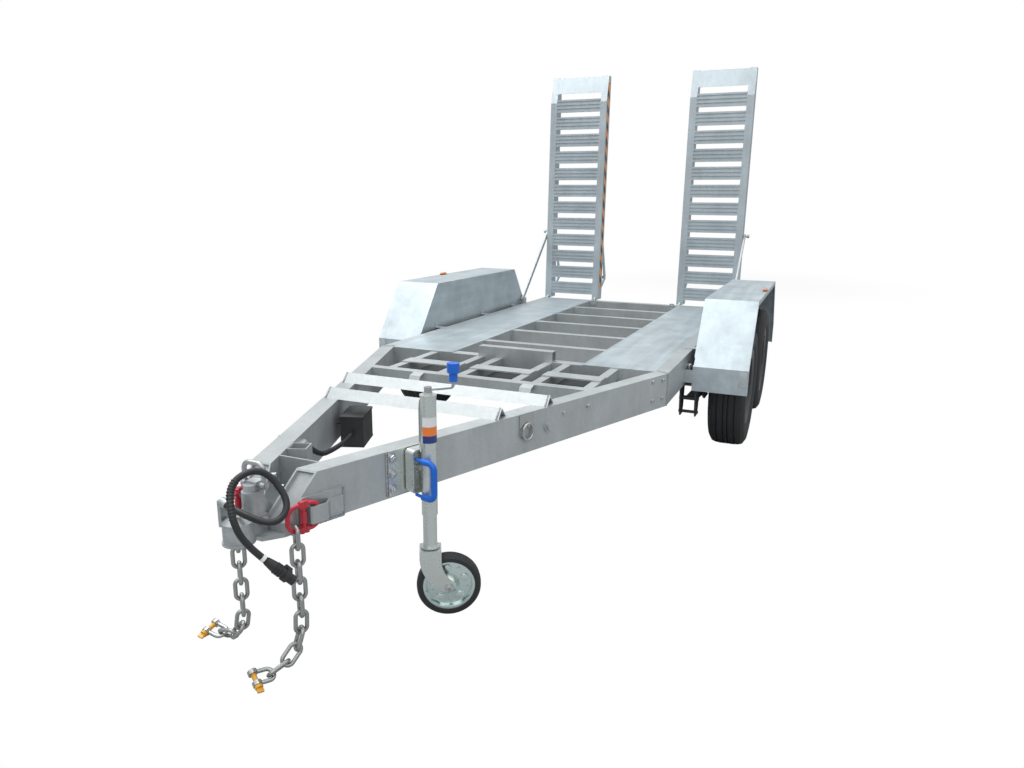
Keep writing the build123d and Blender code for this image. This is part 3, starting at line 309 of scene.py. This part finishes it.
def stripedTape(name, light, dark, bandRate=52.0):
    # slanted bands of two colours, a pair of them to each full turn of the wave
    tree = Tree(name)
    place = tree.node("ShaderNodeTexCoord", output="Object")
    parts = tree.node("ShaderNodeSeparateXYZ", {}, [place])
    up = Value(tree, parts.socket.node.outputs["Z"])
    back = Value(tree, parts.socket.node.outputs["Y"])
    stripe = ((up + back) * bandRate).wave() > 0.0
    colour = tree.mix(stripe, (*light, 1), (*dark, 1))
    worn = tree.ramp(tree.noise(60.0, 4.0), 0.62, 0.7) * 0.4
    colour = tree.mix(worn, colour, (0.45, 0.45, 0.45, 1))
    return tree.finish(Base_Color=colour, Roughness=0.4)


zincTone = (0.56, 0.59, 0.60)
finishes = {
    "frame": galvanised("galvanised frame", zincTone),
    "sheet": sheetZinc("galvanised sheet", (0.60, 0.68, 0.72)),
    "ramp": galvanised("galvanised ramp", (0.56, 0.63, 0.67), metallic=0.5, rough=0.40),
    # painted shade: the tray floor is coloured near black so it stands for the shadow under the trailer seen
    # through the tool bays, though the key lamp lights it
    "tray": galvanised("tray painted as shade", (0.030, 0.032, 0.034), metallic=0.0, rough=0.8),
    "bright": brightZinc("bright zinc", (0.50, 0.51, 0.51), rough=0.22, metallic=0.95),
    "rim": brightZinc("plated rim", (0.72, 0.82, 0.80), rough=0.18, metallic=0.9),
    "clamp": brightZinc("plated clamp", (0.66, 0.70, 0.68), rough=0.30, metallic=0.7),
    "chain": brightZinc("zinc chain", (0.42, 0.43, 0.42), rough=0.32),
    "cast": castMetal("cast coupling", (0.58, 0.61, 0.63)),
    "rubber": tyreRubber("tyre rubber"),
    "wheel": glossPaint("dark wheel", (0.030, 0.030, 0.034), rough=0.4, coat=0.2),
    "hanger": galvanised("dark hangers", (0.085, 0.088, 0.095), metallic=0.4, rough=0.5),
    "bolt": brightZinc("plated bolts", (0.60, 0.61, 0.62), rough=0.28),
    "weld": castMetal("weld beads", (0.44, 0.47, 0.50)),
    "cable": plainPlastic("cable jacket", (0.016, 0.018, 0.020), rough=0.38),
    "whiteBand": plainPlastic("white tape", (0.80, 0.80, 0.80), rough=0.4),
    "orangeBand": plainPlastic("orange tape", (0.88, 0.22, 0.04), rough=0.4),
    "navyBand": plainPlastic("dark blue tape", (0.02, 0.04, 0.20), rough=0.4),
    "amber": glossPaint("amber lens", (0.95, 0.28, 0.05), coat=0.8, wear=0.0),
    "reflector": plainPlastic("pale reflector", (0.42, 0.46, 0.48), rough=0.25),
    "hazard": stripedTape("hazard tape", (0.90, 0.30, 0.04), (0.02, 0.02, 0.02)),
    "red": glossPaint("red paint", (0.56, 0.012, 0.035)),
    "yellow": glossPaint("yellow paint", (0.80, 0.40, 0.02), wear=0.05),
    "blue": plainPlastic("blue plastic", (0.004, 0.13, 0.62), rough=0.32),
    "black": plainPlastic("black plastic", (0.022, 0.023, 0.025)),
}

nodeFinish = {
    "tyre_front_left": "rubber",
    "tyre_front_right": "rubber",
    "tyre_rear_left": "rubber",
    "tyre_rear_right": "rubber",
    "jockey_tyre": "rubber",
    "wheel_front_left": "wheel",
    "wheel_front_right": "wheel",
    "wheel_rear_left": "wheel",
    "wheel_rear_right": "wheel",
    "deck_plate_left": "sheet",
    "deck_plate_right": "sheet",
    "mudguard_left": "sheet",
    "mudguard_right": "sheet",
    "ramp_left": "ramp",
    "ramp_right": "ramp",
    # the tray floor is a dark sheet put where there is only shade beneath the tool bays, so its near black
    # colour is painted shade
    "tray_floor": "tray",
    "coupling_body": "cast",
    "coupling_handle": "bright",
    "jockey_clamp": "clamp",
    "jockey_leg": "clamp",
    "jockey_inner": "clamp",
    "jockey_fork": "clamp",
    "jockey_rim": "rim",
    "jockey_crank": "bright",
    "jockey_grip": "blue",
    "crank_knob": "blue",
    "hammerlock_left": "red",
    "hammerlock_right": "red",
    "chain_left": "chain",
    "chain_right": "chain",
    "shackles": "bright",
    "shackle_pins": "yellow",
    "breakaway_box": "black",
    "brake_conduit": "cable",
    "electric_cable": "cable",
    "suspension_left": "hanger",
    "suspension_right": "hanger",
    "electric_plug": "black",
    "lashing_ring": "bright",
    "lashing_link": "bright",
}

for name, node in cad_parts.items():
    material = finishes[nodeFinish.get(name, "frame")]
    if not node.material_slots:
        node.data.materials.append(material)
    for slot in node.material_slots:
        slot.material = material

print("tools for the pieces")


def spot(x, y, z):
    # a place in millimetres, with y counted back from the nose
    return Vector((x / 1000, noseY + y / 1000, z / 1000))


def flipped(place):
    # the same place or direction on the trailer's other side
    return Vector((-place[0], place[1], place[2]))


def pick(piece):
    bpy.ops.object.select_all(action="DESELECT")
    piece.select_set(True)
    bpy.context.view_layer.objects.active = piece


def rounded(piece, width, segments=2):
    pick(piece)
    bpy.ops.object.mode_set(mode="EDIT")
    bpy.ops.mesh.select_all(action="SELECT")
    bpy.ops.mesh.bevel(offset=width, segments=segments, affect="EDGES")
    bpy.ops.object.mode_set(mode="OBJECT")
    return piece


def rod(start, end, radius, sides=24, fill="NGON"):
    run = Vector(end) - Vector(start)
    bpy.ops.mesh.primitive_cylinder_add(
        vertices=sides,
        radius=radius,
        depth=run.length,
        end_fill_type=fill,
        location=(Vector(start) + Vector(end)) / 2,
        rotation=run.to_track_quat("Z", "Y").to_euler(),
    )
    return bpy.context.object


def slab(middle, size, turn=0.0, lean=0.0, edge=0.0):
    bpy.ops.mesh.primitive_cube_add(size=1, location=middle, rotation=(lean, 0, turn), scale=size)
    bpy.ops.object.transform_apply(location=False, rotation=False, scale=True)
    made = bpy.context.object
    return rounded(made, edge) if edge else made


def joined(pieces):
    bpy.ops.object.select_all(action="DESELECT")
    for piece in pieces:
        piece.select_set(True)
    bpy.context.view_layer.objects.active = pieces[0]
    bpy.ops.object.join()
    return bpy.context.object


def keep(piece, name, finish, body="frame"):
    # the piece's place goes into its mesh, and it rides on a body
    pick(piece)
    bpy.ops.object.transform_apply(location=True, rotation=True, scale=True)
    if piece.type == "MESH":
        bpy.ops.object.shade_smooth_by_angle(angle=math.radians(35))
    piece.name = name
    piece.data.materials.clear()
    piece.data.materials.append(finishes[finish])
    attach(piece, body)
    return piece


def nut(place, outward, radius, height=0.009, stud=0.004):
    # a washer, a six-sided nut with its corners taken off, and the end of its bolt
    place = Vector(place)
    outward = Vector(outward).normalized()
    seat = place + outward * 0.0016
    washer = rod(place, seat, radius * 1.3, 28)
    body = rounded(rod(seat, place + outward * height, radius, 6), radius * 0.1)
    tip = rod(place + outward * height * 0.9, place + outward * (height + stud), radius * 0.5, 14)
    return [washer, body, rounded(tip, radius * 0.06, 1)]


def bead(start, end, radius):
    # a weld laid as overlapping drops
    start = Vector(start)
    run = Vector(end) - start
    count = max(3, int(run.length / (radius * 0.9)))
    drops = []
    for index in range(count + 1):
        size = radius * (1 + 0.14 * math.sin(index * 2.3) + 0.08 * math.sin(index * 5.1))
        place = start + run * (index / count)
        bpy.ops.mesh.primitive_uv_sphere_add(segments=10, ring_count=6, radius=size, location=place)
        drops.append(bpy.context.object)
    return drops


def spline(name, points, radius, resolution=16):
    # an open NURBS line of order 3 through its two end points
    data = bpy.data.curves.new(name, "CURVE")
    data.dimensions = "3D"
    data.bevel_depth = radius
    data.bevel_resolution = 8
    data.use_fill_caps = True
    line = data.splines.new("NURBS")
    line.points.add(len(points) - 1)
    for control, place in zip(line.points, points):
        control.co = (*place, 1)
    line.order_u = 3
    line.use_endpoint_u = True
    line.resolution_u = resolution
    made = bpy.data.objects.new(name, data)
    scene.collection.objects.link(made)
    return made


def walk(curve):
    # the points along a curve's own line
    plain = curve.data.copy()
    plain.bevel_depth = 0
    probe = bpy.data.objects.new("probe", plain)
    scene.collection.objects.link(probe)
    bpy.context.view_layer.update()
    mesh = bpy.data.meshes.new_from_object(probe)
    places = [vertex.co.copy() for vertex in mesh.vertices]
    bpy.data.objects.remove(probe)
    return places


print("cords")
cableSettings = {
    "route": [
        (-20, -202, 504),
        (116, -206, 460),
        (130, -128, 497),
        (72, -134, 580),
        (46, -178, 605),
        (27, -235, 581),
        (58, -270, 514),
        (88, -266, 444),
        (126, -232, 390),
    ],
    "radius": 0.009,
    "length": 0.643,
    "sleeveTop": 0.585,
    "sleeveBottom": 0.500,
    "ribs": {"pitch": 0.0046, "ring": 0.0092, "thickness": 0.0016, "sides": 28},
    "tapeBack": 0.016,
    "tapeFront": 0.006,
    "tapeRadius": 0.0096,
}
conduitSettings = {
    "route": [(-137, 268, 514), (-149, 345, 450), (-176, 450, 430), (-182, 555, 438), (-206.9, 619.7, 440)],
    "radius": 0.008,
    "length": 0.383,
    "ribs": {"pitch": 0.006, "ring": 0.0078, "thickness": 0.0014, "sides": 24},
}


def ringsAlong(places, settings, bottom=-math.inf, top=math.inf):
    # rings a pitch apart on a line, where it lies between two heights
    rings = []
    gone = 0.0
    for here, after in zip(places, places[1:]):
        step = after - here
        gone += step.length
        if bottom < here.z < top and gone > settings["pitch"]:
            bpy.ops.mesh.primitive_torus_add(
                major_segments=settings["sides"],
                minor_segments=6,
                major_radius=settings["ring"],
                minor_radius=settings["thickness"],
                location=here,
                rotation=step.to_track_quat("Z", "Y").to_euler(),
            )
            rings.append(bpy.context.object)
            gone = 0.0
    return joined(rings)


def addCable(settings):
    cable = spline("cable", [spot(*place) for place in settings["route"]], settings["radius"])
    cable.data.materials.append(finishes["cable"])
    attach(cable, "frame")
    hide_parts("electric_cable")
    places = walk(cable)
    hanging = places[len(places) // 2:]
    rings = ringsAlong(hanging, settings["ribs"], settings["sleeveBottom"], settings["sleeveTop"])
    sleeve = keep(rings, "cable_sleeve", "cable")
    end = places[-1]
    ahead = (end - places[-4]).normalized()
    tapeEnds = (end - ahead * settings["tapeBack"], end - ahead * settings["tapeFront"])
    tape = keep(rod(*tapeEnds, settings["tapeRadius"], 32), "cable_tape", "whiteBand")
    tuple(spot(*settings["route"][0]))


def addConduit(settings):
    conduit = spline("conduit", [spot(*place) for place in settings["route"]], settings["radius"])
    conduit.data.materials.append(finishes["cable"])
    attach(conduit, "frame")
    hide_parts("brake_conduit")
    rings = ringsAlong(walk(conduit)[2:-2], settings["ribs"])
    corrugation = keep(rings, "conduit_ribs", "cable")
    tuple(spot(*settings["route"][0]))


addCable(cableSettings)
addConduit(conduitSettings)

print("bolts")
hands = (("right", 1), ("left", -1))
axles = {"front": 2556, "rear": 3366}

# each nut's radius, height and length of bolt past it
railBoltSettings = {
    "places": [(998, 509), (1136, 508), (1563, 530), (1638, 526), (1564, 444), (1639, 443)],
    "nut": (0.0095, 0.007, 0.0),
}
springNutSettings = {"across": (735, 801), "spread": 32, "height": 256, "nut": (0.0105, 0.011, 0.004)}
clampNutSettings = {
    "heights": (0.430, 0.480, 0.530),
    "out": 0.0081,
    "along": 0.250,
    "nut": (0.0125, 0.0115, 0.004),
}
couplingNutSettings = {
    "crossBolt": (32, -126, 438),
    "crossNut": (0.011, 0.009, 0.004),
    "footBolt": (62, -52, 388),
    "footNut": (0.010, 0.010, 0.008),
}


def addRailBolts(settings, hand, side):
    parts = []
    for back, height in settings["places"]:
        place = onRail(0, back / 1000 / math.cos(railTurn), height / 1000)
        outward = railOut
        if side < 0:
            place, outward = flipped(place), flipped(outward)
        parts += nut(place, outward, *settings["nut"])
    keep(joined(parts), "rail_bolts_" + hand, "bolt")


def addSpringNuts(settings, hand, side):
    parts = []
    for middle in axles.values():
        for across in settings["across"]:
            for back in (-settings["spread"], settings["spread"]):
                place = spot(side * across, middle + back, settings["height"])
                parts += nut(place, (0, 0, -1), *settings["nut"])
    keep(joined(parts), "spring_nuts_" + hand, "hanger")


def addClampNuts(settings):
    parts = []
    for height in settings["heights"]:
        place = onRail(settings["out"], settings["along"], height)
        parts += nut(place, railOut, *settings["nut"])
    keep(joined(parts), "clamp_nuts", "bolt")


def addCouplingNuts(settings):
    across, back, height = settings["crossBolt"]
    parts = []
    for side in (1, -1):
        parts += nut(spot(side * across, back, height), (side, 0, 0), *settings["crossNut"])
    across, back, height = settings["footBolt"]
    for side in (1, -1):
        parts += nut(spot(side * across, back, height), (0, 0, -1), *settings["footNut"])
    keep(joined(parts), "coupling_nuts", "bolt")


for hand, side in hands:
    addRailBolts(railBoltSettings, hand, side)
    addSpringNuts(springNutSettings, hand, side)
addClampNuts(clampNutSettings)
addCouplingNuts(couplingNutSettings)

wheelSettings = {
    "face": 980.2,
    "height": 325,
    "circle": 66,
    "count": 6,
    "firstTurn": 0.3,
    "nut": (0.0115, 0.014, 0.005),
    # the valve's stem and cap: where each starts and ends, across and above the axle, and its radius
    "valve": [((1000, 158), (1030, 152), 0.004), ((1028, 152.5), (1038, 150.5), 0.0055)],
}


def addWheelTrim(settings, place, back, hand, side):
    parts = []
    for index in range(settings["count"]):
        turn = math.tau * index / settings["count"] + settings["firstTurn"]
        nutBack = back + settings["circle"] * math.cos(turn)
        nutHeight = settings["height"] + settings["circle"] * math.sin(turn)
        nutPlace = spot(side * settings["face"], nutBack, nutHeight)
        parts += nut(nutPlace, (side, 0, 0), *settings["nut"])
    wheel = place + "_" + hand
    keep(joined(parts), "wheel_nuts_" + wheel, "bolt", "wheel_" + wheel)
    valve = []
    for (startAcross, startUp), (endAcross, endUp), radius in settings["valve"]:
        start = spot(side * startAcross, back, settings["height"] + startUp)
        end = spot(side * endAcross, back, settings["height"] + endUp)
        valve.append(rod(start, end, radius, 14))
    keep(joined(valve), "valve_" + wheel, "black", "wheel_" + wheel)


for place, back in axles.items():
    for hand, side in hands:
        addWheelTrim(wheelSettings, place, back, hand, side)

print("welds")
kinkAlong = kinkBack / math.cos(railTurn)
weldSettings = {
    "radius": 0.0035,
    "right": [
        # the rail's kink, down its face and across its top
        (onRail(0.0005, kinkAlong, 0.403), onRail(0.0005, kinkAlong, 0.548)),
        (onRail(-0.002, kinkAlong, 0.5505), onRail(-0.062, kinkAlong + 0.012, 0.5505)),
        # the ends of the two angle bars
        (spot(358, 670, 552), spot(358, 706, 584)),
        (spot(449, 910, 552), spot(449, 945, 584)),
        # the doubler's lower and rear edges, and the clamp plate's edge
        (onRail(0.009, -0.066, 0.402), onRail(0.009, 0.073, 0.402)),
        (onRail(0.0085, 0.0755, 0.405), onRail(0.0085, 0.0755, 0.486)),
        (onRail(0.002, 0.234, 0.412), onRail(0.002, 0.234, 0.548)),
    ],
}


def addWelds(settings):
    drops = []
    for start, end in settings["right"]:
        drops += bead(start, end, settings["radius"])
        drops += bead(flipped(start), flipped(end), settings["radius"])
    keep(joined(drops), "weld_beads", "weld")


addWelds(weldSettings)

print("jockey wheel trim")
legMiddle = onRail(0.070, 0.343, 0)
legRadius = 0.0245
legFacing = Vector((-0.92, -0.39, 0))
bandSettings = {
    "bands": [("whiteBand", 0.656, 0.627), ("orangeBand", 0.627, 0.599), ("navyBand", 0.599, 0.576)],
    "clear": 0.0004,
    "bareSide": 0.62,
    "thickness": 0.0003,
}
releaseSettings = {
    "radius": 0.0024,
    "clear": 0.0028,
    "bend": Vector((0.39, -0.92, 0)) * 0.012,
    # each point's share of the distance from the tube's middle, its share of the bend, and its height
    "points": [
        (0.90, 0, 0.706),
        (1, 0, 0.690),
        (1, 0, 0.640),
        (1, 0, 0.590),
        (1, 0, 0.572),
        (0.92, 1, 0.562),
        (0.80, 1.6, 0.548),
    ],
}
rimSettings = {
    "trail": 0.057,
    "trailTurn": math.radians(29.5),
    "height": 0.102,
    "count": 5,
    "firstTurn": 0.4,
    "dish": {"circle": 0.053, "low": 0.004, "high": 0.0085, "radius": 0.0125, "edge": 0.0018},
    "stud": {"circle": 0.060, "low": 0.0045, "high": 0.0068, "radius": 0.0045},
    "nutOut": 0.0312,
    "nut": (0.0115, 0.009, 0.0),
}


def addBand(settings, finish, top, low):
    # a strip of tape round the tube, open on the side that faces the rail
    up = Vector((0, 0, 1))
    radius = legRadius + settings["clear"]
    band = rod(legMiddle + up * low, legMiddle + up * top, radius, 64, "NOTHING")
    pick(band)
    turned = band.matrix_world.to_3x3()
    bpy.ops.object.mode_set(mode="EDIT")
    bpy.ops.mesh.select_mode(type="FACE")
    bpy.ops.mesh.select_all(action="DESELECT")
    shape = bmesh.from_edit_mesh(band.data)
    for face in shape.faces:
        face.select_set((turned @ face.normal).dot(legFacing) > settings["bareSide"])
    bmesh.update_edit_mesh(band.data)
    bpy.ops.mesh.delete(type="FACE")
    bpy.ops.mesh.select_all(action="SELECT")
    bpy.ops.mesh.solidify(thickness=settings["thickness"])
    bpy.ops.object.mode_set(mode="OBJECT")
    keep(band, finish + "_on_the_tube", finish, "jockey_leg")


def addReleaseRod(settings):
    side = legFacing.normalized() * (legRadius + settings["clear"])
    places = []
    for out, bend, height in settings["points"]:
        places.append(legMiddle + side * out + settings["bend"] * bend + Vector((0, 0, height)))
    wire = spline("release_rod", places, settings["radius"])
    pick(wire)
    bpy.ops.object.convert(target="MESH")
    keep(bpy.context.object, "release_rod", "bright", "jockey_leg")


def addRimTrim(settings):
    turn = settings["trailTurn"]
    ahead = Vector((math.cos(turn), math.sin(turn), 0))
    axle = Vector((-math.sin(turn), math.cos(turn), 0))
    middle = legMiddle + ahead * settings["trail"] + Vector((0, 0, settings["height"]))

    def raised(shape, angle, face, sides):
        circle = shape["circle"]
        place = middle + ahead * circle * math.cos(angle) + Vector((0, 0, circle * math.sin(angle)))
        start = place + axle * face * shape["low"]
        return rod(start, place + axle * face * shape["high"], shape["radius"], sides)

    parts = []
    for face in (-1, 1):
        for index in range(settings["count"]):
            angle = math.tau * index / settings["count"] + settings["firstTurn"]
            parts.append(rounded(raised(settings["dish"], angle, face, 28), settings["dish"]["edge"], 3))
            parts.append(raised(settings["stud"], angle + math.tau / 10, face, 16))
    keep(joined(parts), "rim_dishes", "rim", "jockey_wheel")
    out = axle * settings["nutOut"]
    ends = nut(middle + out, axle, *settings["nut"]) + nut(middle - out, -axle, *settings["nut"])
    keep(joined(ends), "jockey_axle_nuts", "bolt", "jockey_caster")


for finish, top, low in bandSettings["bands"]:
    addBand(bandSettings, finish, top, low)
addReleaseRod(releaseSettings)
addRimTrim(rimSettings)

print("markers and tape")
# each piece's place across, back and up, its size and its bevel
markerSettings = {
    "base": ((1046, 2914, 815.5), (0.024, 0.070, 0.004), 0.001),
    "lens": ((1047, 2914, 822), (0.020, 0.060, 0.012), 0.004),
    "reflector": ((1035, 2119.6, 453), (0.040, 0.0016, 0.080), 0.0005),
}
tapeSettings = {
    "across": -314.6,
    "low": 640,
    "high": 2200,
    "width": 0.046,
    "thickness": 0.0008,
    "back": 4213,
    "footHeight": 548,
    "lean": math.radians(1.5),
}


def addMarkers(settings, hand, side):
    def shaped(kind):
        (across, back, height), size, edge = settings[kind]
        return slab(spot(side * across, back, height), size, edge=edge)

    keep(shaped("base"), "marker_base_" + hand, "black")
    keep(shaped("lens"), "marker_lens_" + hand, "amber")
    keep(shaped("reflector"), "front_reflector_" + hand, "reflector")


def addTape(settings):
    middle = (settings["low"] + settings["high"]) / 2
    back = settings["back"] + (middle - settings["footHeight"]) * math.tan(settings["lean"])
    size = (settings["thickness"], settings["width"], (settings["high"] - settings["low"]) / 1000)
    tape = slab(spot(settings["across"], back, middle), size, lean=-settings["lean"])
    keep(tape, "hazard_tape", "hazard", "ramp_left")


for hand, side in hands:
    addMarkers(markerSettings, hand, side)
addTape(tapeSettings)

print("small fittings")
lidSettings = {
    "plates": [((-234, 690, 502), (0.091, 0.155, 0.010)), ((-234, 690, 391), (0.089, 0.153, 0.007))],
    "edge": 0.002,
}
leverSettings = {
    "blade": ((4, -39, 516), (0.008, 0.010, 0.046)),
    "turn": 0.4,
    "lean": 0.5,
    "edge": 0.002,
    "head": ((-6, -50, 538), (14, -46, 540), 0.007),
    "pin": ((-14, -32, 500), (20, -26, 500), 0.005),
}
washerSettings = {
    "across": (340, 740),
    "steps": (-21, 21),
    "halfWidth": 1.2,
    "back": 4142,
    "height": 532,
    "radius": 0.0145,
}


def addLid(settings):
    plates = []
    for place, size in settings["plates"]:
        plates.append(slab(spot(*place), size, turn=railTurn, edge=settings["edge"]))
    keep(joined(plates), "box_lid", "black")


def addLever(settings):
    place, size = settings["blade"]
    blade = slab(spot(*place), size, settings["turn"], settings["lean"], settings["edge"])
    start, end, radius = settings["head"]
    head = rounded(rod(spot(*start), spot(*end), radius, 20), settings["edge"])
    start, end, radius = settings["pin"]
    pin = rod(spot(*start), spot(*end), radius, 18)
    keep(joined([blade, head, pin]), "lock_lever", "bright")


def addHingeWashers(settings, hand, side):
    back, height, half = settings["back"], settings["height"], settings["halfWidth"]
    collars = []
    for across in settings["across"]:
        for step in settings["steps"]:
            middle = side * across + step
            start = spot(middle - half, back, height)
            collars.append(rod(start, spot(middle + half, back, height), settings["radius"], 28))
    keep(joined(collars), "hinge_washers_" + hand, "bright")


addLid(lidSettings)
addLever(leverSettings)
for hand, side in hands:
    addHingeWashers(washerSettings, hand, side)

print("studio")
skySettings = {"colour": (0.96, 0.99, 1.0, 1), "low": 0.16, "high": 1.30, "from": -0.1, "to": 0.8}
lampSettings = {
    "key": {"place": (-2.0, -0.5, 6.0), "target": (0, 0, 0.4), "power": 190, "size": 5.0},
    "fill": {"place": (1.5, -6.5, 3.2), "target": (0, -0.5, 0.5), "power": 22, "size": 4.0},
}
floorSettings = {"tone": (0.36, 0.37, 0.38, 1), "size": 60, "back": 10, "nearGlow": 0.94, "from": 1.2, "to": 3.2}


def addSky(settings):
    # a sky that brightens upwards, and plain white where the camera looks past the trailer
    world = bpy.data.worlds.new("studio")
    scene.world = world
    world.use_nodes = True
    nodes = world.node_tree.nodes
    links = world.node_tree.links
    light = nodes["Background"]
    light.inputs["Color"].default_value = settings["colour"]
    place = nodes.new("ShaderNodeTexCoord")
    parts = nodes.new("ShaderNodeSeparateXYZ")
    grade = nodes.new("ShaderNodeMapRange")
    grade.inputs["From Min"].default_value = settings["from"]
    grade.inputs["From Max"].default_value = settings["to"]
    grade.inputs["To Min"].default_value = settings["low"]
    grade.inputs["To Max"].default_value = settings["high"]
    links.new(place.outputs["Generated"], parts.inputs[0])
    links.new(parts.outputs["Z"], grade.inputs["Value"])
    links.new(grade.outputs[0], light.inputs["Strength"])
    seen = nodes.new("ShaderNodeBackground")
    seen.inputs["Color"].default_value = (1, 1, 1, 1)
    path = nodes.new("ShaderNodeLightPath")
    shown = nodes.new("ShaderNodeMixShader")
    links.new(path.outputs["Is Camera Ray"], shown.inputs["Fac"])
    links.new(light.outputs[0], shown.inputs[1])
    links.new(seen.outputs[0], shown.inputs[2])
    links.new(shown.outputs[0], nodes["World Output"].inputs["Surface"])


def addLamp(name, settings):
    data = bpy.data.lights.new(name, "AREA")
    data.energy = settings["power"]
    data.size = settings["size"]
    lamp = bpy.data.objects.new(name, data)
    scene.collection.objects.link(lamp)
    lamp.location = settings["place"]
    towards = Vector(settings["target"]) - Vector(settings["place"])
    lamp.rotation_euler = towards.to_track_quat("-Z", "Y").to_euler()


def addFloor(settings):
    # a grey floor for the light, which the camera sees almost white
    bpy.ops.object.select_all(action="DESELECT")
    bpy.ops.mesh.primitive_plane_add(size=settings["size"], location=(0, settings["back"], 0))
    floor = bpy.context.object
    floor.name = "floor"
    tree = Tree("studio floor")
    tree.finish(Base_Color=settings["tone"], Roughness=0.9)
    glow = tree.nodes.new("ShaderNodeEmission")
    whitened = tree.nodes.new("ShaderNodeMixShader")
    path = tree.nodes.new("ShaderNodeLightPath")
    distance = tree.node("ShaderNodeVectorMath", {"operation": "LENGTH"}, [tree.place()], output=1)
    near = settings["nearGlow"]
    share = tree.ramp(distance, settings["from"], settings["to"]) * (1 - near) + near
    tree.links.new(share.socket, whitened.inputs["Fac"])
    tree.links.new(tree.shader.outputs[0], whitened.inputs[1])
    tree.links.new(glow.outputs[0], whitened.inputs[2])
    shown = tree.nodes.new("ShaderNodeMixShader")
    tree.links.new(path.outputs["Is Camera Ray"], shown.inputs["Fac"])
    tree.links.new(tree.shader.outputs[0], shown.inputs[1])
    tree.links.new(whitened.outputs[0], shown.inputs[2])
    tree.links.new(shown.outputs[0], tree.nodes["Material Output"].inputs["Surface"])
    floor.data.materials.append(tree.material)


addSky(skySettings)
for name, settings in lampSettings.items():
    addLamp(name, settings)
addFloor(floorSettings)
scene.view_settings.view_transform = "Standard"
